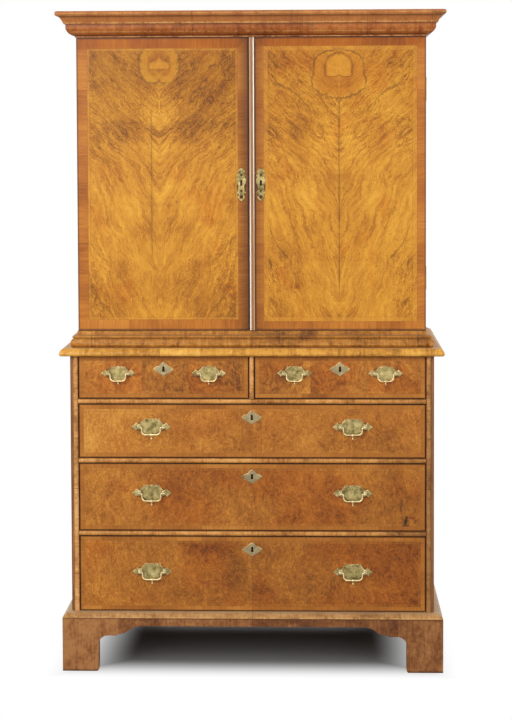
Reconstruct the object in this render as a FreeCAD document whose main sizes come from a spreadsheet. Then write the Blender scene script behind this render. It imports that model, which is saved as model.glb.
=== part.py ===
import FreeCAD, Part
import os
import re
import Sketcher

doc = FreeCAD.newDocument("cabinet_on_chest")

# Driving sizes, in millimetres
sizes = {
    # chest of drawers
    "chest_width": 1008,
    "chest_depth": 520,
    "side_thickness": 22,
    "bottom_thickness": 15,
    "top_thickness": 22,
    "back_thickness": 10,
    "back_lip": 10,
    "back_gap": 0.6,
    "top_opening": 120.5,
    "upper_opening": 151.5,
    "middle_opening": 190,
    "lower_opening": 212,
    "rail_thickness": 14,
    "rail_depth": 75,
    "housing_depth": 6,
    "divider_thickness": 14,
    "side_bead_width": 15,
    "bead_projection": 6,
    # plinth with bracket feet
    "plinth_height": 149,
    "plinth_projection": 24.5,
    "plinth_thickness": 28,
    "apron_height": 22,
    "foot_width": 101,
    "foot_straight": 77,
    "foot_cove_width": 28,
    "foot_cove_height": 23,
    "foot_step_length": 23,
    "foot_step_rise": 4,
    "foot_ogee_length": 68,
    "foot_wear": 7,
    "rear_foot_thickness": 20,
    "foot_block": 46,
    # base moulding
    "base_projection": 23.5,
    "base_fillet": 3,
    "base_ledge": 3.5,
    # thumb moulding round the top of the chest
    "nose_projection": 27.5,
    "nose_round": 13,
    "nose_lip": 7,
    # waist moulding
    "waist_torus_height": 23,
    "waist_torus_inset": 15.5,
    "waist_torus_round": 5.5,
    "waist_fillet": 2,
    "waist_bead": 8,
    "waist_bead_inset": 11.5,
    "waist_crest": 2.5,
    "waist_gap": 0.5,
    # cabinet
    "cabinet_setback": 21.5,
    "cabinet_base_height": 45,
    "door_opening": 813,
    "cabinet_side_thickness": 20,
    "cabinet_board_thickness": 18,
    "shelf_thickness": 16,
    "shelf_setback": 34,
    "shelf_gap": 0.8,
    "lower_shelf_height": 265,
    "upper_shelf_height": 530,
    "bearer_width": 14,
    "bearer_height": 18,
    # cornice
    "cornice_height": 70,
    "cornice_projection": 52.5,
    "cornice_bed": 3,
    "cornice_bed_height": 4.5,
    "cornice_ovolo_height": 24,
    "cornice_ovolo_reach": 26,
    "cornice_fascia_height": 12,
    "cornice_step": 5,
    "cornice_cove_height": 20.5,
    "cornice_crown_step": 8.5,
    "cornice_crown_round": 4.5,
    # doors
    "door_thickness": 22,
    "door_gap": 1.5,
    "door_seat_gap": 0.6,
    "meeting_offset": -6,
    "astragal_width": 15.5,
    "astragal_fillet": 4.2,
    "astragal_step": 2,
    "astragal_projection": 4.5,
    # door hinges
    "hinge_height": 66,
    "hinge_leaf_width": 15,
    "hinge_leaf_thickness": 1.8,
    "hinge_knuckle_radius": 3.2,
    "hinge_pin_radius": 1.5,
    "hinge_pin_gap": 0.08,
    "hinge_knuckle_gap": 0.3,
    "hinge_room": 0.4,
    "hinge_inset": 110,
    # door bolts
    "bolt_radius": 3.5,
    "bolt_length": 110,
    "bolt_gap": 0.3,
    "bolt_inset": 30,
    "bolt_setback": 3.5,
    "bolt_throw": 16,
    "bolt_knob_radius": 4,
    "bolt_knob_length": 11,
    "bolt_guide_width": 18,
    "bolt_guide_height": 12,
    "bolt_guide_depth": 12,
    "bolt_guide_pitch": 62,
    # locks and keyholes
    "door_lock_width": 52,
    "door_lock_height": 84,
    "door_lock_depth": 14,
    "drawer_lock_width": 62,
    "drawer_lock_foot": 18,
    "drawer_lock_depth": 10,
    "keyhole_radius": 2.9,
    "keyhole_foot": 3.4,
    "keyhole_height": 15.5,
    # drawers
    "front_thickness": 22,
    "drawer_gap": 1.8,
    "slide_gap": 0.3,
    "lining_thickness": 11,
    "lining_drop": 6,
    "drawer_bottom_thickness": 8,
    "drawer_bottom_lap": 7,
    "runner_height": 4,
    "runner_width": 18,
    "drawer_back_room": 12,
    "tail_length": 15,
    "stop_length": 26,
    "stop_width": 34,
    "stop_height": 3.2,
    # brass handles
    "plate_thickness": 1.6,
    "plate_width": 112,
    "plate_body": 52,
    "plate_rise": 25,
    "plate_drop": 32,
    "plate_shoulder": 12,
    "small_plate_ratio": 0.865,
    "post_spacing": 68,
    "post_shank_radius": 2.6,
    "post_shank_gap": 0.15,
    "post_foot_radius": 6.2,
    "post_foot_height": 2.2,
    "post_neck_radius": 3,
    "post_reach": 11,
    "post_head_radius": 5,
    "post_nut": 11,
    "post_nut_thickness": 4,
    "bail_radius": 1.8,
    "bail_pin_gap": 0.1,
    "bail_drop": 20.5,
    "bail_leg_inset": 8,
    "bail_bend": 4,
    "bail_corner": 11,
    "bail_knob_radius": 3.2,
    "bail_knob_length": 7,
    "small_handle_offset": 126,
    "large_handle_offset": 279.5,
    "top_handle_rise": 11,
    "upper_handle_rise": 11.5,
    "middle_handle_rise": 11,
    "lower_handle_rise": 5.5,
    # escutcheons
    "drawer_escutcheon_width": 57,
    "drawer_escutcheon_height": 41,
    "drawer_key_drop": 36,
    "door_escutcheon_height": 92,
    "door_escutcheon_width": 26.5,
    "door_key_offset": 27,
    "door_key_height": 410,
}

# Places worked out from the sizes
places = {
    "back_y": "(chest_depth - cabinet_setback + cornice_projection) / 2",
    "chest_front_y": "back_y - chest_depth",
    "inner_back_y": "back_y - back_thickness",
    "door_face_y": "chest_front_y + cabinet_setback",
    "door_back_y": "door_face_y + door_thickness",
    "cabinet_front_y": "door_back_y + door_seat_gap",
    "hinge_y": "door_back_y + door_seat_gap / 2",
    "bolt_y": "cabinet_front_y + bolt_radius + bolt_setback",
    "chest_half": "chest_width / 2",
    "opening_half": "chest_half - side_thickness",
    "cabinet_half": "chest_half - cabinet_setback",
    "plinth_half": "chest_half + plinth_projection",
    "plinth_front_y": "chest_front_y - plinth_projection",
    "apron_z": "plinth_height - apron_height",
    "floor_z": "plinth_height + bottom_thickness",
    "lower_rail_z": "floor_z + lower_opening",
    "middle_z": "lower_rail_z + rail_thickness",
    "middle_rail_z": "middle_z + middle_opening",
    "upper_z": "middle_rail_z + rail_thickness",
    "upper_rail_z": "upper_z + upper_opening",
    "top_z": "upper_rail_z + rail_thickness",
    "ceiling_z": "top_z + top_opening",
    "chest_top_z": "ceiling_z + top_thickness",
    "door_floor_z": "chest_top_z + cabinet_base_height",
    "door_head_z": "door_floor_z + door_opening",
    "crown_z": "door_head_z + cornice_height",
    "cabinet_roof_z": "crown_z - cabinet_board_thickness",
    "door_low_z": "door_floor_z + door_gap",
    "door_high_z": "door_head_z - door_gap",
    "key_z": "door_floor_z + door_key_height",
    "bolt_x": "meeting_offset - bolt_inset",
    "front_back_y": "chest_front_y + front_thickness",
    "box_back_y": "inner_back_y - drawer_back_room",
    "post_y": "chest_front_y - plate_thickness",
    "bail_y": "post_y - post_reach",
}

word = re.compile(r"[a-z][a-z0-9_]*")


def linked(text):
    """The expression with each size and place led back to its sheet."""

    def owned(match):
        name = match.group(0)
        if name in sizes:
            return "Sizes." + name
        if name in places:
            return "Places." + name
        return name

    return word.sub(owned, text)


sheet = doc.addObject("Spreadsheet::Sheet", "Sizes")
for row, (alias, value) in enumerate(sizes.items(), start=1):
    sheet.set(f"A{row}", alias)
    sheet.set(f"B{row}", str(value))
    sheet.setAlias(f"B{row}", alias)
doc.recompute()

table = doc.addObject("Spreadsheet::Sheet", "Places")
for row, (alias, formula) in enumerate(places.items(), start=1):
    table.set(f"A{row}", alias)
    table.set(f"B{row}", "=" + linked(formula).replace("Places.", ""))
    table.setAlias(f"B{row}", alias)
    doc.recompute()

nodes = {}


def number(text):
    return float(sheet.evalExpression(linked(text)))


def bind(item, path, text):
    item.setExpression(path, linked(text))


def place(item, x="0", y="0", z="0"):
    for axis, text in zip("xyz", (x, y, z)):
        bind(item, f"Placement.Base.{axis}", text)
    return item


def node(name, item):
    item.Label = name
    nodes[name] = item
    return item


def board(x, y, z):
    """A sawn board between a low and a high value on each axis."""
    item = doc.addObject("Part::Box", "board")
    for prop, (low, high) in zip(("Length", "Width", "Height"), (x, y, z)):
        bind(item, prop, f"({high}) - ({low})")
    return place(item, x[0], y[0], z[0])


def rod(axis, radius, length, x, y, z):
    """A round rod that starts at x, y, z and runs along one axis."""
    item = doc.addObject("Part::Cylinder", "rod")
    bind(item, "Radius", radius)
    bind(item, "Height", length)
    turns = {"x": (0, 1, 0, 90), "y": (-1, 0, 0, 90), "z": (0, 0, 1, 0)}
    *pole, angle = turns[axis]
    item.Placement.Rotation = FreeCAD.Rotation(FreeCAD.Vector(*pole), angle)
    return place(item, x, y, z)


def group(*pieces):
    item = doc.addObject("Part::Compound", "group")
    item.Links = list(pieces)
    return item


def copy(master, x="0", y="0", z="0"):
    return place(group(master), x, y, z)


def mirror(master):
    item = doc.addObject("Part::Mirroring", "mirror")
    item.Source = master
    item.Normal = FreeCAD.Vector(1, 0, 0)
    return item


def fuse(*pieces):
    item = doc.addObject("Part::MultiFuse", "fuse")
    item.Shapes = list(pieces)
    item.Refine = True
    return item


def cut(base, *tools):
    item = doc.addObject("Part::Cut", "cut")
    item.Base = base
    item.Tool = tools[0] if len(tools) == 1 else group(*tools)
    return item


def plane_of(body, role):
    return next(f for f in body.Origin.OriginFeatures if f.Role == role)


def draw(body, role, outlines, offset=None, closed=True):
    """A sketch of outlines: (x, y) ends a line, (x, y, via_x, via_y) an arc through via."""
    sketch = body.newObject("Sketcher::SketchObject", "sketch")
    sketch.AttachmentSupport = [(plane_of(body, role), "")]
    sketch.MapMode = "FlatFace"
    if offset:
        for axis, text in zip("xyz", offset):
            bind(sketch, f"AttachmentOffset.Base.{axis}", text)
    rules = []
    texts = []

    def pin(shape, end, x, y):
        for kind, text in (("DistanceX", x), ("DistanceY", y)):
            rules.append(Sketcher.Constraint(kind, -1, 1, shape, end, number(text)))
            texts.append((len(rules) - 1, text))

    for outline in outlines:
        ends = []
        corners = [FreeCAD.Vector(number(c[0]), number(c[1]), 0) for c in outline]
        first = 0 if closed else 1
        for k in range(first, len(outline)):
            start, end = corners[k - 1], corners[k]
            if len(outline[k]) == 2:
                shape = sketch.addGeometry(Part.LineSegment(start, end))
                ends.append((shape, 1, 2))
                continue
            via = FreeCAD.Vector(number(outline[k][2]), number(outline[k][3]), 0)
            leftward = (via - start).cross(end - via).z > 0
            ordered = (start, via, end) if leftward else (end, via, start)
            shape = sketch.addGeometry(Part.Arc(*ordered))
            ends.append((shape, 1, 2) if leftward else (shape, 2, 1))
            mark = sketch.addGeometry(Part.Point(via), True)
            pin(mark, 1, outline[k][2], outline[k][3])
            rules.append(Sketcher.Constraint("PointOnObject", mark, 1, shape))
        for k, (shape, head, tail) in enumerate(ends):
            corner = outline[k + first]
            pin(shape, tail, corner[0], corner[1])
            if closed or k + 1 < len(ends):
                after = ends[(k + 1) % len(ends)]
                rules.append(Sketcher.Constraint("Coincident", shape, tail, after[0], after[1]))
        if not closed:
            pin(ends[0][0], ends[0][1], outline[0][0], outline[0][1])
    sketch.addConstraint(rules)
    for index, text in texts:
        if word.search(text):
            bind(sketch, f"Constraints[{index}]", text)
    return sketch


def add_ring(sketch, x, y, radius):
    """A round hole in a sketch."""
    centre = FreeCAD.Vector(number(x), number(y), 0)
    ring = sketch.addGeometry(Part.Circle(centre, FreeCAD.Vector(0, 0, 1), number(radius)))
    for kind, text in (("DistanceX", x), ("DistanceY", y)):
        index = sketch.addConstraint(Sketcher.Constraint(kind, -1, 1, ring, 3, number(text)))
        if word.search(text):
            bind(sketch, f"Constraints[{index}]", text)
    index = sketch.addConstraint(Sketcher.Constraint("Radius", ring, number(radius)))
    bind(sketch, f"Constraints[{index}]", radius)


def padded(role, outlines, length, rings=()):
    """A body padded from outlines: XZ_Plane pads forward, YZ_Plane to the right, XY_Plane up."""
    body = doc.addObject("PartDesign::Body", "body")
    sketch = draw(body, role, outlines)
    for ring in rings:
        add_ring(sketch, *ring)
    pad = body.newObject("PartDesign::Pad", "pad")
    pad.Profile = sketch
    bind(pad, "Length", length)
    return body


def pocketed(body, role, outlines):
    """Outlines cut right through a body, both ways from one of its planes."""
    pocket = body.newObject("PartDesign::Pocket", "pocket")
    pocket.Profile = draw(body, role, outlines)
    pocket.Type = "ThroughAll"
    pocket.Midplane = True
    return body


def mirrored(right):
    """A closed outline from its right half, given from the top of the middle line to its foot."""
    left = []
    for k in range(len(right) - 1, 0, -1):
        vertex = [f"-({right[k - 1][0]})", right[k - 1][1]]
        if len(right[k]) == 4:
            vertex += [f"-({right[k][2]})", right[k][3]]
        left.append(tuple(vertex))
    return [left[-1]] + right[1:] + left[:-1]


# A moulding in three mitred lengths round the front and both sides.
# The profile runs outward from a face at half the width and at front_y.
def moulding(profile, half, front_y, reach):
    span = f"({half}) + ({reach})"

    def turned(start, sign):
        points = []
        for step in profile:
            values = [f"{start} {sign} ({step[0]})", step[1]]
            if len(step) == 4:
                values += [f"{start} {sign} ({step[2]})", step[3]]
            points.append(tuple(values))
        return points

    front = padded("YZ_Plane", [turned(f"({front_y})", "-")], f"2 * ({span})")
    corner = (f"({reach})", front_y)
    far = f"2 * ({span})"
    near_cut = [corner, ("0", front_y), ("0", f"({front_y}) - ({reach})")]
    far_cut = [(f"{far} - ({reach})", front_y), (far, f"({front_y}) - ({reach})"), (far, front_y)]
    place(pocketed(front, "XY_Plane", [near_cut, far_cut]), f"-({span})")

    length = f"back_y - ({front_y}) + ({reach})"
    left = padded("XZ_Plane", [turned(f"-({half})", "-")], length)
    inner = (f"-({half})", f"({front_y}) - back_y")
    outer = (f"-({span})", f"({front_y}) - ({reach}) - back_y")
    place(pocketed(left, "XY_Plane", [[inner, outer, (f"-({half})", outer[1])]]), "0", "back_y")
    return group(front, left, mirror(left))


# Chest case
across = ("-chest_half", "chest_half")
depth = ("chest_front_y", "back_y")
inner_depth = ("chest_front_y", "inner_back_y")
bottom_board = board(across, depth, ("plinth_height", "floor_z"))
top_board = board(across, depth, ("ceiling_z", "chest_top_z"))
node("chest_top_and_bottom", group(top_board, bottom_board))

rail_levels = ("lower_rail_z", "middle_rail_z", "upper_rail_z")
rail_heights = [(low, f"{low} + rail_thickness") for low in rail_levels]
housed = ("-opening_half - housing_depth", "opening_half + housing_depth")
side = board(("-chest_half", "-opening_half"), depth, ("floor_z", "ceiling_z"))
housings = [board((housed[0], "-opening_half"), inner_depth, heights) for heights in rail_heights]
back_depth = ("inner_back_y", "back_y")
rebate = board(("-chest_half + back_lip", "-opening_half"), back_depth, ("floor_z", "ceiling_z"))
chest_side = cut(side, rebate, *housings)
node("chest_sides", group(chest_side, mirror(chest_side)))

rail_back = "chest_front_y + rail_depth"
rails = [board(housed, ("chest_front_y", rail_back), heights) for heights in rail_heights]
dust_boards = [board(housed, (rail_back, "inner_back_y"), heights) for heights in rail_heights]
node("drawer_rails", group(*rails))
node("dust_boards", group(*dust_boards))
divider_x = ("-divider_thickness / 2", "divider_thickness / 2")
node("top_drawer_divider", board(divider_x, inner_depth, ("top_z", "ceiling_z")))


def back_boards(half, low, high, count):
    """Upright boards side by side in the rebates of a case's back."""
    pitch = f"2 * ({half}) / {count}"
    pieces = []
    for k in range(count):
        left = f"-({half}) + {k} * {pitch} + back_gap / 2"
        right = f"-({half}) + {k + 1} * {pitch} - back_gap / 2"
        pieces.append(board((left, right), back_depth, (low, high)))
    return group(*pieces)


node("chest_back_boards", back_boards("chest_half - back_lip", "floor_z", "ceiling_z", 4))


# Half-round beads on the front edges of the case
def bead_profile(width):
    half = f"({width}) / 2"
    return half, [(half, "0"), (f"-{half}", "0", "0", "-bead_projection")]


def upright_bead(x, width, low, high):
    half, profile = bead_profile(width)
    bead = padded("XY_Plane", [profile], f"({high}) - ({low})")
    return place(bead, x, "chest_front_y", low)


def level_bead(low, left, right):
    half = "rail_thickness / 2"
    profile = [("0", half), ("0", f"-{half}", "-bead_projection", "0")]
    bead = padded("YZ_Plane", [profile], f"({right}) - ({left})")
    return place(bead, left, "chest_front_y", f"{low} + {half}")


side_bead = upright_bead("-opening_half - side_bead_width / 2", "side_bead_width", "floor_z", "ceiling_z")
divider_bead = upright_bead("0", "divider_thickness", "top_z", "ceiling_z")
rail_beads = [level_bead(low, "-opening_half", "opening_half") for low in rail_levels]
node("front_beads", group(side_bead, mirror(side_bead), divider_bead, *rail_beads))


# Plinth with bracket feet; u runs in from the outer edge of a foot
def bracket(corner, sign):
    cove_z = "foot_straight + foot_cove_height"
    step_z = f"{cove_z} + foot_step_rise"
    marks = [
        ("foot_width - foot_wear", "0"),
        ("foot_width", "foot_wear", "foot_width - foot_wear * 0.29", "foot_wear * 0.29"),
        ("foot_width", "foot_straight"),
        (
            "foot_width + foot_cove_width",
            cove_z,
            "foot_width + foot_cove_width * 0.29",
            "foot_straight + foot_cove_height * 0.71",
        ),
        ("foot_width + foot_cove_width + foot_step_length", cove_z),
    ]
    start = "foot_width + foot_cove_width + foot_step_length"
    rise = f"(apron_z - ({step_z}))"
    marks.append((start, step_z))
    marks.append(
        (
            f"{start} + foot_ogee_length / 2",
            f"{step_z} + {rise} / 2",
            f"{start} + foot_ogee_length * 0.29",
            f"{step_z} + {rise} * 0.14",
        )
    )
    marks.append(
        (
            f"{start} + foot_ogee_length",
            "apron_z",
            f"{start} + foot_ogee_length * 0.71",
            f"{step_z} + {rise} * 0.86",
        )
    )
    placed = []
    for mark in marks:
        values = [f"{corner} {sign} ({mark[0]})", mark[1]]
        if len(mark) == 4:
            values += [f"{corner} {sign} ({mark[2]})", mark[3]]
        placed.append(tuple(values))
    return placed


def backwards(points):
    """The same run of lines and arcs, met from its other end."""
    turned = [points[-1][:2]]
    for k in range(len(points) - 2, -1, -1):
        turned.append(points[k][:2] + points[k + 1][2:])
    return turned


def plinth_outline(low, high):
    feet = bracket(low, "+") + backwards(bracket(high, "-"))
    return feet + [(high, "0"), (high, "plinth_height"), (low, "plinth_height"), (low, "0")]


def mitre(tip_x, tip_y, far_x, far_y):
    return [(tip_x, tip_y), (far_x, tip_y), (far_x, far_y)]


plinth_front = padded("XZ_Plane", [plinth_outline("-plinth_half", "plinth_half")], "plinth_thickness")
end_cuts = []
for sign in ("-", ""):
    tip = f"{sign}(plinth_half - plinth_thickness)"
    end_cuts.append(mitre(tip, "0", f"{sign}plinth_half", "-plinth_thickness"))
pocketed(plinth_front, "XY_Plane", end_cuts)
node("plinth_front", place(plinth_front, "0", "plinth_front_y + plinth_thickness"))

plinth_side = padded("YZ_Plane", [plinth_outline("plinth_front_y", "back_y")], "plinth_thickness")
inner_y = "plinth_front_y + plinth_thickness"
side_cut = [
    ("plinth_thickness", inner_y),
    ("plinth_thickness", "plinth_front_y"),
    ("0", "plinth_front_y"),
]
pocketed(plinth_side, "XY_Plane", [side_cut])
place(plinth_side, "-plinth_half")
node("plinth_sides", group(plinth_side, mirror(plinth_side)))

rear_outline = [
    ("0", "0"),
    ("foot_width - plinth_thickness", "0"),
    ("foot_width", "foot_straight"),
    ("foot_width + foot_cove_width", "apron_z"),
    ("foot_width + foot_cove_width", "plinth_height"),
    ("0", "plinth_height"),
]
rear_foot = padded("XZ_Plane", [rear_outline], "rear_foot_thickness")
place(rear_foot, "-plinth_half + plinth_thickness", "back_y")
node("rear_feet", group(rear_foot, mirror(rear_foot)))

block_x = ("-plinth_half + plinth_thickness", "-plinth_half + plinth_thickness + foot_block")
front_block = board(block_x, (inner_y, f"{inner_y} + foot_block"), ("0", "plinth_height"))
rear_block_y = "back_y - rear_foot_thickness"
rear_block = board(block_x, (f"{rear_block_y} - foot_block", rear_block_y), ("0", "plinth_height"))
node("foot_blocks", group(front_block, rear_block, mirror(front_block), mirror(rear_block)))

base_profile = [
    ("0", "plinth_height"),
    ("base_projection", "plinth_height"),
    ("base_projection", "plinth_height + base_fillet"),
    (
        "base_ledge",
        "floor_z",
        "base_ledge + (base_projection - base_ledge) * 0.6",
        "plinth_height + base_fillet + (bottom_thickness - base_fillet) * 0.67",
    ),
    ("0", "floor_z"),
]
node("base_moulding", moulding(base_profile, "chest_half", "chest_front_y", "base_projection"))

# Thumb moulding on the edges of the chest's top
nose_profile = [
    ("0", "ceiling_z"),
    ("nose_projection - nose_lip", "ceiling_z"),
    (
        "nose_projection",
        "ceiling_z + nose_lip",
        "nose_projection - nose_lip * 0.29",
        "ceiling_z + nose_lip * 0.29",
    ),
    (
        "nose_projection - nose_round",
        "chest_top_z",
        "nose_projection - nose_round * 0.3",
        "chest_top_z - (top_thickness - nose_lip) * 0.385",
    ),
    ("0", "chest_top_z"),
]
node("chest_top_moulding", moulding(nose_profile, "chest_half", "chest_front_y", "nose_projection"))

# Waist moulding: a torus, a bead and a cavetto, which hold the cabinet on the chest
torus_z = "chest_top_z + waist_torus_height"
bead_z = f"{torus_z} + waist_fillet"
cavetto_z = f"{bead_z} + waist_bead"
cavetto_reach = "(waist_bead_inset - waist_crest)"
cavetto_rise = f"(door_floor_z - waist_fillet - ({cavetto_z}))"
waist_profile = [
    ("waist_gap", "chest_top_z"),
    ("waist_torus_inset", "chest_top_z"),
    (
        "waist_torus_inset",
        torus_z,
        "waist_torus_inset + waist_torus_round",
        "chest_top_z + waist_torus_height / 2",
    ),
    ("waist_bead_inset", torus_z),
    ("waist_bead_inset", bead_z),
    (
        "waist_bead_inset",
        cavetto_z,
        "waist_bead_inset + waist_bead / 2",
        f"{bead_z} + waist_bead / 2",
    ),
    (
        "waist_crest",
        "door_floor_z - waist_fillet",
        f"waist_crest + {cavetto_reach} * 0.29",
        f"{cavetto_z} + {cavetto_rise} * 0.29",
    ),
    ("waist_crest", "door_floor_z"),
    ("waist_gap", "door_floor_z"),
]
waist_reach = "waist_torus_inset + waist_torus_round"
node("waist_moulding", moulding(waist_profile, "cabinet_half", "door_face_y", waist_reach))

# Cabinet case
inside_half = "cabinet_half - cabinet_side_thickness"
case_depth = ("cabinet_front_y", "back_y")
case_inner_depth = ("cabinet_front_y", "inner_back_y")
case_heights = ("chest_top_z", "cabinet_roof_z")
floor_heights = ("door_floor_z - cabinet_board_thickness", "door_floor_z")
floor_span = (f"-({inside_half}) - housing_depth", f"{inside_half} + housing_depth")
hinge_levels = ("door_low_z + hinge_inset", "door_high_z - hinge_inset - hinge_height")


def hinge_rooms(leaf_y):
    """What is let in for the leaves and knuckles of one door's hinges, on the left."""
    rooms = []
    for low in hinge_levels:
        leaf_x = ("-cabinet_half", "-cabinet_half + hinge_leaf_width")
        rooms.append(board(leaf_x, leaf_y, (low, f"{low} + hinge_height")))
        room_radius = "hinge_knuckle_radius + hinge_room"
        room_z = f"{low} - hinge_room"
        room_length = "hinge_height + 2 * hinge_room"
        rooms.append(rod("z", room_radius, room_length, "-cabinet_half", "hinge_y", room_z))
    return fuse(*rooms)


case_leaf_y = ("cabinet_front_y", "cabinet_front_y + hinge_leaf_thickness")
door_leaf_y = ("door_back_y - hinge_leaf_thickness", "door_back_y")

wall = board(("-cabinet_half", f"-({inside_half})"), case_depth, case_heights)
wall_rebate = board(("-cabinet_half + back_lip", f"-({inside_half})"), back_depth, case_heights)
wall_housing = board((floor_span[0], f"-({inside_half})"), case_inner_depth, floor_heights)
cabinet_side = cut(wall, wall_rebate, wall_housing, hinge_rooms(case_leaf_y))
node("cabinet_sides", group(cabinet_side, mirror(cabinet_side)))

bolt_hole = rod(
    "z", "bolt_radius + 2 * bolt_gap", "cabinet_board_thickness", "bolt_x", "bolt_y", floor_heights[0]
)
node("cabinet_bottom_board", cut(board(floor_span, case_inner_depth, floor_heights), bolt_hole))
cabinet_across = ("-cabinet_half", "cabinet_half")
node("cabinet_top_board", board(cabinet_across, case_depth, ("cabinet_roof_z", "crown_z")))
node("cabinet_back_boards", back_boards("cabinet_half - back_lip", *case_heights, 4))
rail_y = ("door_face_y", "cabinet_front_y")
base_rail = board(cabinet_across, rail_y, ("chest_top_z", "door_floor_z"))
frieze_rail = board(cabinet_across, rail_y, ("door_head_z", "crown_z"))
node("cabinet_rails", group(base_rail, frieze_rail))

shelves = []
bearers = []
shelf_y = ("cabinet_front_y + shelf_setback", "inner_back_y")
for height in ("lower_shelf_height", "upper_shelf_height"):
    shelf_z = f"door_floor_z + {height}"
    shelf_x = (f"-({inside_half}) + shelf_gap", f"{inside_half} - shelf_gap")
    shelves.append(board(shelf_x, shelf_y, (shelf_z, f"{shelf_z} + shelf_thickness")))
    bearer_x = (f"-({inside_half})", f"-({inside_half}) + bearer_width")
    bearer = board(bearer_x, shelf_y, (f"{shelf_z} - bearer_height", shelf_z))
    bearers += [bearer, mirror(bearer)]
node("shelves", group(*shelves))
node("shelf_bearers", group(*bearers))

# Cornice: bed fillet, ovolo, fascia, step, cove and a rounded crown
ovolo_z = "door_head_z + cornice_ovolo_height"
fascia_z = f"{ovolo_z} + cornice_fascia_height"
cornice_cove_z = f"{fascia_z} + cornice_cove_height"
cove_start = "cornice_ovolo_reach + cornice_step"
cove_end = "cornice_projection - cornice_crown_step"
bed_z = "door_head_z + cornice_bed_height"
ovolo_start = "(cornice_bed * 2)"
cornice_profile = [
    ("0", "door_head_z"),
    ("cornice_bed", "door_head_z"),
    ("cornice_bed", bed_z),
    (ovolo_start, bed_z),
    (
        "cornice_ovolo_reach",
        ovolo_z,
        f"{ovolo_start} + (cornice_ovolo_reach - {ovolo_start}) * 0.68",
        f"{bed_z} + (cornice_ovolo_height - cornice_bed_height) * 0.4",
    ),
    ("cornice_ovolo_reach", fascia_z),
    (cove_start, fascia_z),
    (
        cove_end,
        cornice_cove_z,
        f"{cove_start} + ({cove_end} - ({cove_start})) * 0.43",
        f"{fascia_z} + cornice_cove_height * 0.57",
    ),
    ("cornice_projection - cornice_crown_round", cornice_cove_z),
    (
        "cornice_projection - cornice_crown_round",
        "crown_z",
        "cornice_projection",
        f"(crown_z + {cornice_cove_z}) / 2",
    ),
    ("0", "crown_z"),
]
node("cornice", moulding(cornice_profile, "cabinet_half", "door_face_y", "cornice_projection"))


# Hinges of one door, on the left: three knuckles on the case, two on the door
def hinge_leaf(low, leaf_y, first):
    pitch = "hinge_height / 5"
    leaf_start = "-cabinet_half + hinge_knuckle_radius + hinge_room"
    leaf_end = "-cabinet_half + hinge_leaf_width"
    plates = []
    for k in range(first, 5, 2):
        start = f"{low} + {k} * {pitch} + hinge_knuckle_gap / 2"
        length = f"{pitch} - hinge_knuckle_gap"
        plates.append(rod("z", "hinge_knuckle_radius", length, "-cabinet_half", "hinge_y", start))
        tongue_x = ("-cabinet_half", f"{leaf_start} + hinge_leaf_thickness")
        plates.append(board(tongue_x, leaf_y, (start, f"{start} + {length}")))
    plates.append(board((leaf_start, leaf_end), leaf_y, (low, f"{low} + hinge_height")))
    bore = rod("z", "hinge_pin_radius + hinge_pin_gap", "hinge_height", "-cabinet_half", "hinge_y", low)
    return cut(fuse(*plates), bore)


case_leaves = [hinge_leaf(low, case_leaf_y, 0) for low in hinge_levels]
door_leaves = [hinge_leaf(low, door_leaf_y, 1) for low in hinge_levels]
pins = [rod("z", "hinge_pin_radius", "hinge_height", "-cabinet_half", "hinge_y", low) for low in hinge_levels]
left_hinges = group(*case_leaves, *pins)
node("case_hinge_leaves", group(left_hinges, mirror(left_hinges)))
left_leaves = group(*door_leaves)
node("left_door_hinge_leaves", left_leaves)
node("right_door_hinge_leaves", mirror(left_leaves))


# Keyhole and pierced plates
def keyhole_outline(z):
    top = f"{z} + keyhole_height / 2"
    foot = f"{z} - keyhole_height / 2"
    return [
        ("-keyhole_radius", f"{top} - keyhole_radius"),
        ("keyhole_radius", f"{top} - keyhole_radius", "0", top),
        ("keyhole_foot", foot),
        ("-keyhole_foot", foot),
    ]


def keyhole_cut(depth_text):
    return padded("XZ_Plane", [keyhole_outline("0")], depth_text)


half_wide = "door_escutcheon_width / 2"
half_tall = "door_escutcheon_height / 2"
door_plate_right = [
    ("0", half_tall),
    (f"{half_wide} * 0.73", f"{half_tall} * 0.74", f"{half_wide} * 0.5", f"{half_tall} * 0.91"),
    (f"{half_wide} * 0.58", f"{half_tall} * 0.66"),
    (half_wide, f"{half_tall} * 0.56"),
    (f"{half_wide} * 0.68", f"{half_tall} * 0.44"),
    (f"{half_wide} * 0.68", "0", half_wide, f"{half_tall} * 0.22"),
    (f"{half_wide} * 0.66", f"-{half_tall} * 0.26", f"{half_wide} * 0.6", f"-{half_tall} * 0.13"),
    (half_wide, f"-{half_tall} * 0.5", f"{half_wide} * 0.76", f"-{half_tall} * 0.42"),
    (f"{half_wide} * 0.5", f"-{half_tall} * 0.57"),
    (f"{half_wide} * 0.73", f"-{half_tall} * 0.74"),
    ("0", f"-{half_tall}", f"{half_wide} * 0.44", f"-{half_tall} * 0.89"),
]
door_plate_holes = [
    ("0", f"{half_tall} * 0.57", f"{half_wide} * 0.27"),
    ("0", f"-{half_tall} * 0.38", f"{half_wide} * 0.27"),
    ("0", f"-{half_tall} * 0.74", f"{half_wide} * 0.4"),
]
key_lift = f"({half_tall} * 0.1)"
door_plate = padded(
    "XZ_Plane",
    [mirrored(door_plate_right), keyhole_outline(key_lift)],
    "plate_thickness",
    door_plate_holes,
)
plate_z = f"key_z - {key_lift}"
node("left_door_escutcheon", copy(door_plate, "-door_key_offset", "door_face_y", plate_z))
node("right_door_escutcheon", copy(door_plate, "door_key_offset", "door_face_y", plate_z))

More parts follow.
